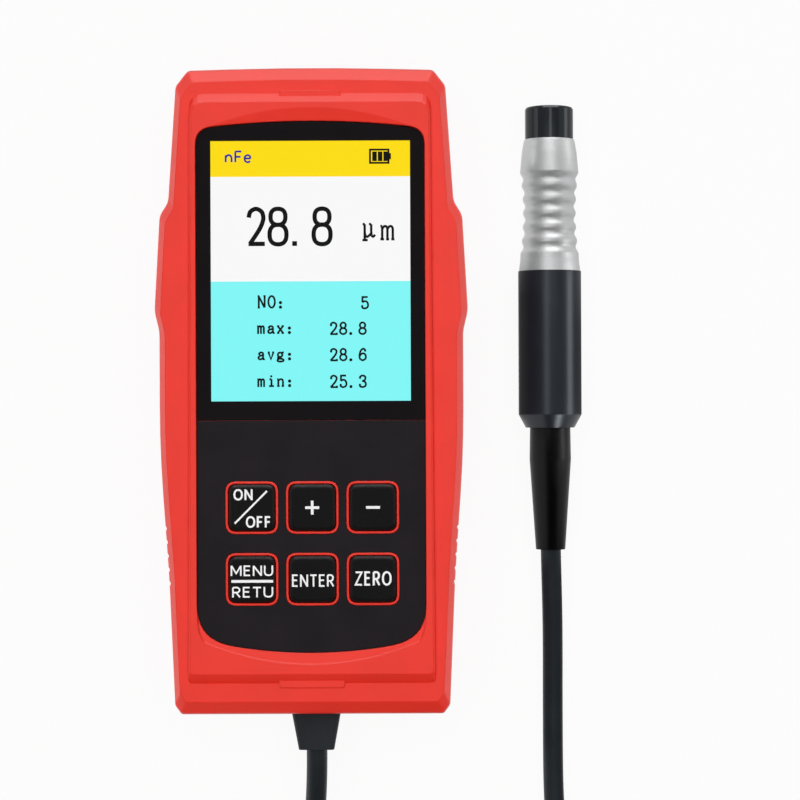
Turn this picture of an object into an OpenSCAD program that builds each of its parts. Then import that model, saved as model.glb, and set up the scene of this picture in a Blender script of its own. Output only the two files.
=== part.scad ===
// Coating thickness gauge: a hand-held case with a colour display and six keys,
// and a pen-shaped probe on a lead. The case lies on its back with the display up.
// Millimetres. +X is to the right of the face, +Y towards the top of the case, +Z out of the face.
// The origin is the middle of the flat back face.

/* [Case] */
// Distance from the black panel up to the top of the case
top_margin = 10.5; // [9.5:0.1:12]
// Distance from the black panel down to the lower end of the case
low_margin = 11.8; // [10.8:0.1:13]
// Width across the top corners
top_w = 49.8; // [48:0.1:54]
// Width where the side grips start
neck_w = 52.9; // [50:0.1:56]
// Width across the side grips
grip_w = 58.1; // [55:0.1:62]
// Width below the side grips
waist_w = 56.3; // [53:0.1:60]
// Width below the grip notches
heel_w = 53; // [51:0.1:55]
// Width at the lower corners
foot_w = 51; // [48:0.1:54]
// Height of the raised front above the back face
case_t = 24; // [23:0.1:26]
// Height of the line where the two shells meet
parting_z = 13; // [12.5:0.1:14]
// Wall of the shells
wall = 2; // [1.6:0.1:2.4]
// Step from the shoulder up to the raised front
step_h = 1.5; // [1:0.1:2]
// Cut across each corner of the outline
corner_cut = 2.2; // [1.5:0.1:3]
// Rise of the arched top edge
top_arch = 0.6; // [0.2:0.1:1]
// Sunken depth of the grip notches
notch_depth = 0.35; // [0.25:0.05:0.6]
// Distance between grip notches
notch_pitch = 2.54; // [2:0.01:2.8]

/* [Front panel] */
// Width of the black panel
panel_w = 41.9; // [40:0.1:43]
// Depth of the panel's face below the raised front
panel_sink = 0.8; // [0.6:0.05:1]
// Thickness of the panel
panel_t = 1; // [0.8:0.05:1.1]
// Rim of the raised front beside the panel
panel_rim = 1.5; // [1.2:0.1:2]
// Width of the display's picture
screen_w = 36.7; // [34:0.1:38]
// Height of the display's picture
screen_h = 47.9; // [45:0.1:49]
// Distance from the picture up to the panel's edge
screen_gap = 3.5; // [3:0.1:4.5]
// Distance from the picture down to the joint between lens and keypad panel
split_gap = 3.5; // [2.8:0.1:5]

/* [Keys] */
// Side of the red rim round a key
rim_side = 9.64; // [9:0.02:10.2]
// Width of the rim's wall
rim_wall = 0.42; // [0.4:0.02:0.6]
// Distance between columns of keys
key_pitch_x = 11.1; // [11:0.05:12]
// Distance between rows of keys
key_pitch_y = 13.15; // [12:0.05:14]
// Distance from the picture down to the middle of the upper row of keys
label_gap = 19.5; // [18:0.1:22]
// Distance from the middle of the lower row of keys down to the panel's edge
key_low_gap = 13.45; // [12.5:0.05:15]
// Travel of a key
key_travel = 0.6; // [0.4:0.05:0.8]
// Height of a key's top above the panel
key_proud = 0.7; // [0.4:0.05:1]

/* [Inside] */
// Thickness of the main board
board_t = 1.6; // [1.2:0.1:2]
// Height of a rubber dome when its key is pressed
dome_low = 2.05; // [1.8:0.05:2.4]
// Diameter of a battery cell
cell_d = 10.5; // [10.2:0.1:10.6]
// Length of a battery cell with its nub
cell_len = 44.5; // [43:0.1:45]
// Length of a seated contact spring
spring_seat = 2.5; // [2:0.1:3]
// Diameter of a case screw
case_screw_d = 2.6; // [2.2:0.1:3]
// Diameter of a board screw
board_screw_d = 1.8; // [1.6:0.1:2.2]
// Slide of the battery door that frees its hooks
door_travel = 8; // [7:0.5:10]

/* [Probe] */
// Distance of the probe's axis from the middle of the case
probe_x = 45; // [43:0.1:48]
// Place of the grip sleeve's rear end along the case
probe_y = -7.2; // [-9:0.1:-6]
// Diameter of the grip sleeve
grip_d = 12; // [11.6:0.1:13]
// Length of the grip sleeve
grip_len = 29.8; // [28:0.1:33]
// Length of the metal collar
collar_len = 25.1; // [24:0.1:26]
// Diameter of the measuring head
head_d = 9.2; // [8.8:0.02:9.6]
// Part of the measuring head that stands out of the collar
head_out = 6.2; // [5.5:0.1:8]
// Travel of the measuring head
head_travel = 3; // [2:0.1:3.5]
// Length of the rubber boot behind the sleeve
boot_len = 23.2; // [20:0.1:26]

/* [Lead] */
// Diameter of the lead
lead_d = 3.9; // [3.6:0.1:4.2]
// Offset of the strain relief to the right of the middle
relief_x = 0.5; // [0:0.1:2]
// Length of the strain relief outside the case
relief_len = 7.2; // [5:0.1:8]
// Width of the strain relief at the case
relief_w = 9.2; // [8:0.1:10]

/* [Hidden] */
$fn = 48;
eps = 0.01;

// Colours of the materials
red = [0.90, 0.20, 0.16];
black = [0.10, 0.10, 0.11];
rubber = [0.06, 0.06, 0.07];
metal = [0.82, 0.83, 0.85];
steel = [0.62, 0.63, 0.65];
brass = [0.80, 0.66, 0.32];
copper = [0.75, 0.42, 0.24];

// Clearances: a running fit, a loose fit round plastic pieces, and a screw in its hole
run_gap = 0.05;
loose_gap = 0.1;
screw_gap = 0.05;

// The display and the keys set the panel's length, and the panel sets that of the case
panel_len = screen_gap + screen_h + label_gap + key_pitch_y + key_low_gap;
case_len = top_margin + panel_len + low_margin;
half_len = case_len / 2;
panel_top = half_len - top_margin;
panel_low = half_len - low_margin;
screen_y = panel_top - screen_gap - screen_h / 2;
panel_split = screen_y - screen_h / 2 - split_gap;
key_row_y = screen_y - screen_h / 2 - label_gap;

// Case outline: the right side from the lower end up as [x, y, blend]
half_grip = grip_w / 2;
grip_low_y = 14.7;
grip_top_y = 32.5;
waist_y = 11;
foot_bend_y = -11;
heel_y = -34.5;
foot_y = -half_len + corner_cut * 0.75;
corner_blend = 1;
right_side = [
    [foot_w / 2 - corner_cut * 0.55, -half_len, corner_blend * 0.4],
    [foot_w / 2, foot_y, corner_blend * 0.4],
    [heel_w / 2, heel_y, 4],
    [waist_w / 2, foot_bend_y, 8],
    [waist_w / 2, waist_y, corner_blend],
    [grip_w / 2, grip_low_y, corner_blend],
    [(grip_w + neck_w) / 4 + 0.3, grip_top_y, corner_blend],
    [neck_w / 2, grip_top_y + 2.4, corner_blend],
    [top_w / 2 + 0.1, half_len - corner_cut * 1.6, corner_blend * 0.6],
    [top_w / 2 - corner_cut, half_len - top_arch, corner_blend * 0.6]
];
left_side = [for (i = [len(right_side) - 1:-1:0]) [-right_side[i].x, right_side[i].y, right_side[i].z]];
case_points = concat(right_side, [[0, half_len, top_w * 0.3]], left_side);

// Unit vector of a flat vector
function unit(v) = v / norm(v);

// A corner of a closed outline, rounded over its blend length with n steps
function corner(before, at, after, n) =
    let (p = [at.x, at.y],
         a = p + unit([before.x, before.y] - p) * at.z,
         b = p + unit([after.x, after.y] - p) * at.z)
    at.z == 0 ? [p] :
    [for (k = [0:n]) let (s = k / n) (1 - s) * (1 - s) * a + 2 * s * (1 - s) * p + s * s * b];

// A closed outline from its corner points
function outline(pts, n = 3) =
    [for (i = [0:len(pts) - 1])
        each corner(pts[(i + len(pts) - 1) % len(pts)], pts[i], pts[(i + 1) % len(pts)], n)];

// Corner points of a rectangle about the origin, with rounded corners
function rect_points(w, h, blend) =
    [[w / 2, -h / 2, blend], [w / 2, h / 2, blend], [-w / 2, h / 2, blend], [-w / 2, -h / 2, blend]];

// An outline drawn in by dx at its widest and dy at its ends, and lifted to z
function level(pts, half_w, half_h, dx, dy, z) =
    [for (p = pts) [p.x * (1 - dx / half_w), p.y * (1 - dy / half_h), z]];

// A closed skin through rings of the same number of points
module skin(rings) {
    n = len(rings[0]);
    last = (len(rings) - 1) * n;
    sides = [for (k = [0:len(rings) - 2], i = [0:n - 1]) let (j = (i + 1) % n)
        each [[k * n + i, (k + 1) * n + i, (k + 1) * n + j], [k * n + i, (k + 1) * n + j, k * n + j]]];
    ends = [[for (i = [0:n - 1]) i], [for (i = [n - 1:-1:0]) last + i]];
    polyhedron(points = [for (r = rings) each r], faces = concat(ends, sides), convexity = 8);
}

// The case outline drawn in evenly, as a flat shape
module case_flat(inset) {
    polygon([for (p = outline(case_points, 2))
        [p.x * (1 - inset / half_grip), p.y * (1 - inset / half_len)]]);
}

// Heights of the stack, from the front down
panel_z = case_t - panel_sink;
floor_z = panel_z - panel_t;
front_wall = 1.3;
ceiling_z = floor_z - front_wall;
shoulder_z = case_t - step_h;
flange_t = 0.8;
dome_h = dome_low + key_travel;
board_top = ceiling_z - run_gap - flange_t - dome_h;
board_low = board_top - board_t;

// Raised front: middle, half sizes at its foot, and how far its bevels draw in
front_mid = (panel_top - panel_low) / 2 - 0.25;
front_half_w = panel_w / 2 + panel_rim;
front_half_h = (panel_top + panel_low) / 2 + 5.45;
front_bevel = 1.75;
front_blend = 2.6;
front_low_blend = 0.8;
front_spread = 0.27;
side_draft = 0.08;
side_bevel = 0.35;
scoop_top_r = 50.5;
scoop_low_r = 49.3;
scoop_top_up = 2.5;
scoop_low_down = 2.2;
scoop_reach = 2.6;
scoop_top_half = 19.4;
scoop_lip = 0.25;
scoop_spare = 0.2;

// Outline of the panel pocket and of the panel, which is smaller by a loose fit
panel_top_r = 154;
panel_low_r = 84;
panel_top_blend = 3;
panel_low_blend = 6;
arch_steps = 12;
panel_corner_steps = 9;

// Drop of an arch of radius r at the distance x from its crest
function drop(r, x) = r - sqrt(r * r - x * x);

function panel_points(grow) =
    let (w = panel_w / 2 + grow, t = panel_top + grow, l = -panel_low - grow,
         a = w - panel_low_blend - 1, b = w - panel_top_blend - 1)
    concat(
        [for (k = [0:arch_steps]) let (x = -a + 2 * a * k / arch_steps) [x, l + drop(panel_low_r, x), 0]],
        [[w, l + drop(panel_low_r, w), panel_low_blend], [w, t - drop(panel_top_r, w), panel_top_blend]],
        [for (k = [0:arch_steps]) let (x = b - 2 * b * k / arch_steps) [x, t - drop(panel_top_r, x), 0]],
        [[-w, t - drop(panel_top_r, w), panel_top_blend], [-w, l + drop(panel_low_r, w), panel_low_blend]]);

module panel_flat(grow) {
    polygon(outline(panel_points(grow), panel_corner_steps));
}

// Keys: the middle of each, from column 0 to 2 and row 0 to 1
key_side = rim_side - 2 * rim_wall - 2 * loose_gap;
key_blend = 1.5;
key_bevel = 0.55;
flange_side = rim_side + 0.6;
keys_right = 0.18;
function key_at(column, row) = [(column - 1) * key_pitch_x + keys_right, key_row_y - row * key_pitch_y];

// Bosses and posts
boss_r = 2.9;
boss_gap = 0.5;
boss_x = min(top_w, foot_w) / 2 - wall - boss_r - 0.6;
boss_top_y = half_len - wall - boss_r - 3.2;
boss_low_y = -half_len + wall + boss_r + 3.6;
bosses = [[-boss_x, boss_low_y], [boss_x, boss_low_y], [-boss_x, boss_top_y], [boss_x, boss_top_y]];
screw_head_r = case_screw_d * 0.92;
screw_head_h = 1.8;
screw_seat_z = 4.5;
screw_reach = 5;
screw_len = parting_z - screw_seat_z + screw_reach;

// Lip of the rear shell that laps inside the front shell
lap_h = 1.2;
lap_root = 0.5;

// Display: its window in the shell, glass and frame
window_grow = 1.9;
glass_gap = 0.2;
glass_t = 1.6;
glass_w = screen_w + window_grow - 2 * loose_gap;
glass_h = screen_h + window_grow - 2 * loose_gap;
glass_top = floor_z - glass_gap;
glass_low = glass_top - glass_t;
frame_side = 2.2;
frame_low_side = 7;
frame_w = glass_w + 2 * frame_side;
frame_top_y = screen_y + glass_h / 2 + frame_side;
frame_low_y = screen_y - glass_h / 2 - frame_low_side;
pad_t = 0.8;
pad_inset = 3.5;
frame_low = board_top + pad_t;
gasket_t = 0.2;

// Main board and what holds it
board_w = min(top_w, foot_w) - 2 * wall - 2;
board_top_y = half_len - wall - 2.6;
board_low_y = -half_len + wall + 11.2;
post_r = 2.2;
post_low_y = board_low_y + 4;
post_top_y = board_top_y - 2.5;
post_low_x = board_w / 2 - 2.2;
post_top_x = 8;
posts = [
    [-post_low_x, post_low_y], [post_low_x, post_low_y],
    [-post_top_x, post_top_y], [post_top_x, post_top_y]
];
post_root = 0.4;
hole_spare = 0.4;
board_head_r = board_screw_d;
board_head_h = 1.2;
board_reach = 2.5;

// Battery bay: a tray in the rear shell, open to the back, with the door under it
door_lift = 0.2;
door_t = 1.3;
back_t = 1.8;
bay_gap = 0.3;
bay_wall = 1.2;
plate_t = 0.5;
cell_x = cell_d / 2 + 0.25;
cell_z = door_lift + door_t + bay_gap + cell_d / 2;
bay_half = cell_x + cell_d / 2 + bay_gap;
bay_low_y = -half_len + wall + 4.6;
bay_len = cell_len + spring_seat + 2 * plate_t;
bay_top_y = bay_low_y + bay_len;
bay_roof = cell_z + cell_d / 2 + bay_gap;
door_gap = 0.15;
door_half = bay_half - door_gap;
door_top_y = bay_top_y - door_gap;
hook_len = 5;
hook_out = 1.2;
hook_t = 0.8;
hook_stem = 0.7;
hook_low_in = 15;
hook_top_in = 6;
hooks_y = [bay_low_y + hook_low_in, bay_top_y - hook_top_in];
slot_w = hook_out + 4 * door_gap;
slot_len = hook_len + 2 * door_gap;
grooves = 5;
groove_pitch = 2;
groove_w = 14;
groove_len = 1;
groove_depth = 0.5;

// Lead, strain relief and the route of the free stretches
lead_r = lead_d / 2;
relief_z = parting_z;
relief_h = relief_w - 1;
relief_neck_w = relief_w - 2.4;
relief_neck_h = relief_h - 2.4;
relief_flange_t = 1.5;
relief_tip = 0.72;
relief_back_y = -half_len + wall + loose_gap + relief_flange_t;
boot_back = 1.5;
rear_wall = 2;
probe_z = grip_d / 2;
coil_at = [23, -112];
coil_inner = 13.6;
coil_outer = 29.6;
coil_lift = 0.8;
coil_top = 8.8;
coil_edge = 1;
gauge_route = [
    [relief_x, relief_back_y, parting_z],
    [relief_x, -half_len - relief_len, parting_z],
    [relief_x, -71, 12.7], [0.3, -76, 11.2], [-0.1, -81, 8.8], [-0.9, -86, 6.2],
    [-2, -91, 4.2], [-3.1, -96, 3.1], [-4.1, -101, 2.8], [-4.7, -107, 2.75]
];
probe_route = [
    [probe_x, probe_y + rear_wall + boot_back, probe_z],
    [probe_x, probe_y - boot_len, probe_z],
    [45.25, -38, 5.3], [45.45, -44, 3.8], [45.55, -50, 2.6], [45.55, -56, 2.05], [45.55, -63, 1.95],
    [45.55, -70, 1.95], [45.6, -77, 2.15], [45.95, -84, 2.9], [46.8, -91, 4.2], [48.05, -98, 5.7],
    [49.4, -105, 6.45], [50.4, -110, 6.65]
];

// A round tube swept along points, with rings square to the route
lead_sides = 8;
function along(pts, i) = unit(pts[min(i + 1, len(pts) - 1)] - pts[max(i - 1, 0)]);
function ring_round(p, t, r, sides) =
    let (side = unit(cross(t, [0, 0, 1])), up = cross(side, t))
    [for (k = [0:sides - 1]) let (a = 360 * k / sides) p + r * (cos(a) * side + sin(a) * up)];
module tube(pts, r, sides) {
    skin([for (i = [len(pts) - 1:-1:0]) ring_round(pts[i], along(pts, i), r, sides)]);
}

// Probe, measured along its axis from the sleeve's rear end towards the head
head_r = head_d / 2;
grip_r = grip_d / 2;
grip_wall = 1.4;
collar_at = grip_len;
collar_end = grip_len + collar_len;
head_end = collar_end + head_out;
head_inside = 0.8;
head_back = collar_end - head_inside;
guide_at = head_back - head_travel - 0.2;
stem_r = 3.2;
clip_r = 4;
clip_t = 1;
spigot_r = grip_r - grip_wall - run_gap;
spigot_len = 8;
guide_end = collar_at - spigot_len;
stem_back = guide_end - clip_t - 1.5;
boot_r = 3.95;
boot_end_r = 2.8;
boot_neck_r = 3;
pole_r = 1.2;
cup_wall = 1;
cup_floor = 1.6;
cup_r = head_r - cup_wall;
ridges = 7;
ridge_pitch = 2.61;
ridge_first = 3.25;
ridge_waist = 5.02;
ridge_flare = 0.06;
ridge_depth = 0.42;
ridge_crest = 0.2;
valley_steps = 8;
ferrule_top = rear_wall + 6.5;
plug_h = 1.5;
foot_h = 1;
spring_wire = 0.35;

module on_probe() {
    translate([probe_x, probe_y, probe_z])
        rotate([-90, 0, 0])
            children();
}

// A turned piece: its half section, [radius, place], spun about the probe's axis
module turned(section) {
    on_probe()
        rotate_extrude($fn = 96)
            polygon(section);
}

// The case's rounded outer skin below and above the parting line, each cut flat where it ends:
// each level is [drawn in at the sides, drawn in at the ends, height]
rear_levels = [
    [4, 4.4, -0.6], [1.5, 1.7, 0.45], [0.8, 0.9, 1.2],
    [0.35, 0.4, 2.4], [0.1, 0.1, 4.2], [0, 0, parting_z + 1]
];
front_levels = [
    [0, 0, parting_z - 1], [0.06, 0.1, shoulder_z - 2.5], [0.22, 0.4, shoulder_z - 1.8],
    [1.54, 2.97, shoulder_z + 0.3]
];
raised_levels = [
    [0, 0, shoulder_z - 0.6], [0, 0, shoulder_z],
    [side_draft, front_bevel * (1 - side_bevel / step_h), case_t - side_bevel],
    [side_draft + side_bevel, front_bevel, case_t]
];

module rear_skin() {
    rings = outline(case_points);
    intersection() {
        skin([for (d = rear_levels) level(rings, half_grip, half_len, d.x, d.y, d.z)]);
        slab(0, parting_z);
    }
}

module front_skin() {
    rings = outline(case_points);
    intersection() {
        skin([for (d = front_levels) level(rings, half_grip, half_len, d.x, d.y, d.z)]);
        slab(parting_z, shoulder_z);
    }
}

module slab(low, high) {
    translate([-case_len, -case_len, low])
        cube([2 * case_len, 2 * case_len, high - low]);
}

module raised_front() {
    low_x = front_half_w + front_spread;
    top_x = front_half_w - front_spread;
    flat = outline([
        [low_x, -front_half_h, front_low_blend], [top_x, front_half_h, front_blend],
        [-top_x, front_half_h, front_blend], [-low_x, -front_half_h, front_low_blend]
    ], 4);
    translate([0, front_mid, 0])
        skin([for (d = raised_levels) level(flat, front_half_w, front_half_h, d.x, d.y, d.z)]);
}

// Crescent scoops that run down to the panel's upper and lower edges, the lower one from a steep lip
module scoop(r, mid_y, lip) {
    high = panel_sink + scoop_spare;
    translate([0, mid_y, panel_z])
        rotate_extrude($fn = 180)
            polygon([
                [0, 0], [r - scoop_reach, 0], [r - lip, panel_sink - lip], [r + scoop_spare, high], [0, high]
            ]);
}

module scoops() {
    intersection() {
        scoop(scoop_top_r, panel_top + scoop_top_up - scoop_top_r, 0);
        translate([0, panel_top, panel_z])
            cube([2 * scoop_top_half, 4 * scoop_reach, 4 * panel_sink], center = true);
    }
    intersection() {
        scoop(scoop_low_r, -panel_low - scoop_low_down + scoop_low_r, scoop_lip);
        translate([0, -scoop_low_down, panel_z - panel_sink])
            linear_extrude(4 * panel_sink)
                panel_flat(0);
    }
}

// A small tongue in the middle of the raised front's upper or lower bevel
tongue_h = 0.5 + step_h * 0.3;
module tongue(half_w, reach) {
    translate([0, 0, shoulder_z - 0.5])
        linear_extrude(tongue_h)
            polygon([[-half_w, -1], [half_w, -1], [half_w - 0.5, reach], [-half_w + 0.5, reach]]);
}

module tongues() {
    translate([0, front_mid + front_half_h, 0])
        tongue(5.9, 0.5);
    translate([0, front_mid - front_half_h, 0])
        mirror([0, 1, 0])
            tongue(6.3, 0.85);
}

// Half width of the case between the waist's bend and the foot
function side_x(y) =
    lookup(y, [[foot_y, foot_w / 2], [heel_y, heel_w / 2], [foot_bend_y, waist_w / 2]]);

// Five upright notches in each side wall
notch_r = 0.5;
notch_first_y = -25.4;
notch_low_z = 3;
notches = 5;
module grip_notches() {
    for (side = [-1, 1], k = [0:notches - 1]) {
        y = notch_first_y - k * notch_pitch;
        translate([side * (side_x(y) + notch_r - notch_depth), y, notch_low_z])
            cylinder(h = shoulder_z - notch_low_z - 0.6, r = notch_r, $fn = 24);
    }
}

// Opening in the lower end wall that clamps the strain relief's neck
module relief_gap() {
    translate([relief_x, -half_len + wall / 2, relief_z])
        cube([relief_neck_w, 4 * wall, relief_neck_h], center = true);
}

module key_flat(side, blend) {
    polygon(outline(rect_points(side, side, blend), 4));
}

module front_shell() {
    color(red) {
        difference() {
            union() {
                front_skin();
                raised_front();
                tongues();
            }
            translate([0, 0, parting_z - 1])
                linear_extrude(ceiling_z - parting_z + 1)
                    case_flat(wall);
            translate([0, 0, parting_z - 1])
                linear_extrude(lap_h + 1 + loose_gap)
                    case_flat(wall / 2);
            translate([0, 0, floor_z])
                linear_extrude(panel_sink + panel_t + 1)
                    panel_flat(loose_gap);
            scoops();
            translate([0, screen_y, ceiling_z - 1])
                linear_extrude(front_wall + 2)
                    square([screen_w + window_grow, screen_h + window_grow], center = true);
            for (c = [0:2], r = [0:1])
                translate([key_at(c, r).x, key_at(c, r).y, ceiling_z - 1])
                    linear_extrude(front_wall + 2)
                        key_flat(rim_side - 2 * rim_wall, key_blend);
            grip_notches();
            relief_gap();
        }
        key_rims();
        for (b = bosses)
            translate([b.x, b.y, parting_z])
                screw_post(boss_r, ceiling_z + post_root - parting_z, case_screw_d, screw_reach);
        for (p = posts)
            translate([p.x, p.y, board_top])
                screw_post(post_r, ceiling_z + post_root - board_top, board_screw_d, board_reach);
    }
}

// A post with a blind hole in its lower end, a little deeper than the screw reaches
module screw_post(r, h, screw_d, reach) {
    difference() {
        cylinder(h = h, r = r);
        translate([0, 0, -1])
            cylinder(h = reach + hole_spare + 1, r = screw_d / 2 + screw_gap);
    }
}

// Red rims that come up round the keys
rim_proud = 0.1;
rim_root = 0.5;
module key_rims() {
    for (c = [0:2], r = [0:1])
        translate([key_at(c, r).x, key_at(c, r).y, floor_z - rim_root])
            linear_extrude(rim_root + panel_t + rim_proud)
                difference() {
                    key_flat(rim_side, key_blend + rim_wall);
                    key_flat(rim_side - 2 * rim_wall, key_blend);
                }
}

module rear_shell() {
    color(red) {
        difference() {
            union() {
                difference() {
                    rear_skin();
                    translate([0, 0, back_t])
                        linear_extrude(parting_z)
                            case_flat(wall);
                }
                translate([0, 0, parting_z - lap_root])
                    linear_extrude(lap_root + lap_h)
                        difference() {
                            case_flat(wall / 2 + run_gap);
                            case_flat(wall);
                        }
                battery_tray();
                for (b = bosses)
                    translate([b.x, b.y, back_t - 0.4])
                        cylinder(h = parting_z - back_t + 0.4, r = boss_r + 0.7);
            }
            for (b = bosses)
                translate([b.x, b.y, -1]) {
                    cylinder(h = parting_z + 2, r = case_screw_d / 2 + screw_gap + 0.1);
                    cylinder(h = screw_seat_z + 1, r = screw_head_r + 0.25);
                }
            door_opening();
            grip_notches();
            relief_gap();
        }
    }
}

module battery_tray() {
    translate([0, (bay_low_y + bay_top_y) / 2, 0])
        difference() {
            translate([0, 0, back_t - 0.4])
                linear_extrude(bay_roof + bay_wall - back_t + 0.4)
                    square([2 * (bay_half + bay_wall), bay_len + 2 * bay_wall], center = true);
            translate([0, 0, -1])
                linear_extrude(bay_roof + 1)
                    square([2 * bay_half, bay_len], center = true);
        }
}

// Space for the door between the tray's walls, slots in those walls for its hooks to slide in,
// and notches at the slots' ends that let the hooks out
module door_opening() {
    translate([-bay_half, -half_len + wall, -1])
        cube([2 * bay_half, bay_top_y + half_len - wall, back_t + 1 + eps]);
    translate([-bay_half, -half_len - 1, -1])
        cube([2 * bay_half, wall + 2, door_lift + door_t + door_gap + 1]);
    for (side = [-1, 1], y = hooks_y)
        translate([side * (bay_half + hook_out / 2), y - door_travel, 0]) {
            translate([0, door_travel / 2, back_t + hook_t / 2 + loose_gap])
                cube([slot_w, slot_len + door_travel, hook_t + 2 * loose_gap], center = true);
            translate([0, 0, back_t / 2])
                cube([slot_w, slot_len, 2 * back_t], center = true);
        }
}

module battery_door() {
    color(red) {
        difference() {
            intersection() {
                rear_skin();
                translate([-door_half, -half_len - 1, door_lift])
                    cube([2 * door_half, door_top_y + half_len + 1, door_t]);
            }
            for (k = [0:grooves - 1])
                translate([-groove_w / 2, bay_low_y + (k + 2) * groove_pitch, 0])
                    cube([groove_w, groove_len, door_lift + groove_depth]);
        }
        for (side = [-1, 1], y = hooks_y)
            translate([side * (door_half - hook_stem / 2), y, door_lift + door_t / 2])
                door_hook(side);
    }
}

// A stem up from the door with a foot that catches on the inside of the back wall
module door_hook(side) {
    rise = back_t + loose_gap - door_lift - door_t / 2;
    translate([-hook_stem / 2, -hook_len / 2, 0])
        cube([hook_stem, hook_len, rise + hook_t]);
    translate([side * (hook_out / 2), 0, rise + hook_t / 2])
        cube([hook_stem + hook_out, hook_len, hook_t], center = true);
}

module case_screws() {
    color(steel)
        for (b = bosses)
            translate([b.x, b.y, screw_seat_z])
                machine_screw(case_screw_d, screw_len, screw_head_r, screw_head_h);
}

// A screw that points up, with its head below the origin and a cross slot in it
module machine_screw(d, reach, head_r, head_h) {
    difference() {
        union() {
            translate([0, 0, -head_h])
                cylinder(h = head_h, r = head_r);
            translate([0, 0, -head_h / 2])
                cylinder(h = reach + head_h / 2, r = d / 2);
        }
        for (turn = [0, 90])
            rotate(turn)
                translate([0, 0, -head_h])
                    cube([head_r * 1.2, head_r * 0.28, head_h], center = true);
    }
}

// The panel's upper part, clear, over its black adhesive frame
module lens_flat() {
    intersection() {
        panel_flat(0);
        translate([-panel_w, panel_split + loose_gap / 2])
            square([2 * panel_w, 2 * panel_top]);
    }
}

module display_lens() {
    color([0.7, 0.75, 0.8, 0.4])
        translate([0, 0, floor_z + gasket_t])
            linear_extrude(panel_t - gasket_t)
                lens_flat();
}

module lens_gasket() {
    color(black)
        translate([0, 0, floor_z])
            linear_extrude(gasket_t)
                difference() {
                    lens_flat();
                    translate([0, screen_y])
                        square([screen_w, screen_h], center = true);
                }
}

module lcd_glass() {
    color([0.75, 0.9, 0.92])
        translate([0, screen_y, glass_low])
            linear_extrude(glass_t)
                square([glass_w, glass_h], center = true);
}

module lcd_frame() {
    color([0.9, 0.9, 0.88])
        difference() {
            translate([-frame_w / 2, frame_low_y, frame_low])
                cube([frame_w, frame_top_y - frame_low_y, ceiling_z - run_gap - frame_low]);
            translate([0, screen_y, glass_low])
                linear_extrude(2 * glass_t)
                    square([glass_w + 2 * run_gap, glass_h + 2 * run_gap], center = true);
            for (b = bosses)
                translate([b.x, b.y, board_top])
                    cylinder(h = ceiling_z - board_top, r = boss_r + boss_gap);
        }
}

module lcd_pad() {
    color([0.25, 0.25, 0.27])
        translate([0, (frame_top_y + frame_low_y) / 2, board_top])
            linear_extrude(frame_low - board_top)
                square([frame_w - 2 * pad_inset, frame_top_y - frame_low_y - 2 * pad_inset], center = true);
}

connector_len = 2.6;
connector_h = 1.2;
connector_y = frame_low_y - 1.2 - connector_len;
ribbon_t = 0.15;
ribbon_w = 20;
module lcd_ribbon() {
    high = frame_low + pad_t;
    low = board_top + connector_h;
    near_y = connector_y + connector_len;
    far_y = connector_y + 0.4;
    color(brass)
        translate([-ribbon_w / 2, 0, 0])
            rotate([90, 0, 90])
                linear_extrude(ribbon_w)
                    polygon([[frame_low_y, high], [frame_low_y, high + ribbon_t], [near_y, low + ribbon_t],
                        [far_y, low + ribbon_t], [far_y, low], [near_y, low]]);
}

module ribbon_connector() {
    color([0.85, 0.82, 0.74])
        translate([-ribbon_w / 2 - 1, connector_y, board_top])
            cube([ribbon_w + 2, connector_len, connector_h]);
}

module keypad_panel() {
    color([0.13, 0.11, 0.12])
        translate([0, 0, floor_z])
            linear_extrude(panel_t)
                difference() {
                    intersection() {
                        panel_flat(0);
                        translate([-panel_w, panel_split - loose_gap / 2 - 2 * panel_low])
                            square([2 * panel_w, 2 * panel_low]);
                    }
                    for (c = [0:2], r = [0:1])
                        translate(key_at(c, r))
                            key_flat(rim_side + loose_gap, key_blend + rim_wall);
                }
}

// A key: bevelled cap, and a flange that stops under the shell's front wall
module key(column, row) {
    top = panel_z + key_proud;
    flange_top = ceiling_z - run_gap;
    wide = outline(rect_points(key_side, key_side, key_blend), 4);
    half = key_side / 2;
    third = key_bevel * 0.35;
    depths = [
        [0, 0, flange_top - 0.3], [0, 0, top - key_bevel],
        [third, third, top - third], [key_bevel, key_bevel, top]
    ];
    color(black)
        translate(key_at(column, row)) {
            skin([for (d = depths) level(wide, half, half, d.x, d.y, d.z)]);
            translate([0, 0, flange_top - flange_t])
                linear_extrude(flange_t)
                    key_flat(flange_side, key_blend);
        }
}

module key_power() key(0, 0);
module key_plus() key(1, 0);
module key_minus() key(2, 0);
module key_menu() key(0, 1);
module key_enter() key(1, 1);
module key_zero() key(2, 1);

// A hollow rubber dome between the board and a key's flange
dome_foot_r = 4;
dome_foot_w = 1.2;
dome_foot_h = 0.6;
dome_top_r = 2.2;
dome_wall = 0.6;
dome_cap = 1.3;
module dome(column, row) {
    inner_r = dome_top_r - dome_wall;
    color([0.75, 0.75, 0.73])
        translate([key_at(column, row).x, key_at(column, row).y, board_top])
            rotate_extrude()
                polygon([
                    [0, dome_h], [dome_top_r, dome_h], [dome_top_r, dome_h - dome_cap / 2],
                    [dome_foot_r - 0.5, dome_foot_h], [dome_foot_r, dome_foot_h], [dome_foot_r, 0],
                    [dome_foot_r - dome_foot_w, 0], [inner_r, dome_h - dome_cap + 0.3],
                    [inner_r, dome_h - dome_cap], [0, dome_h - dome_cap]
                ]);
}

module dome_power() dome(0, 0);
module dome_plus() dome(1, 0);
module dome_minus() dome(2, 0);
module dome_menu() dome(0, 1);
module dome_enter() dome(1, 1);
module dome_zero() dome(2, 1);

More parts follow.
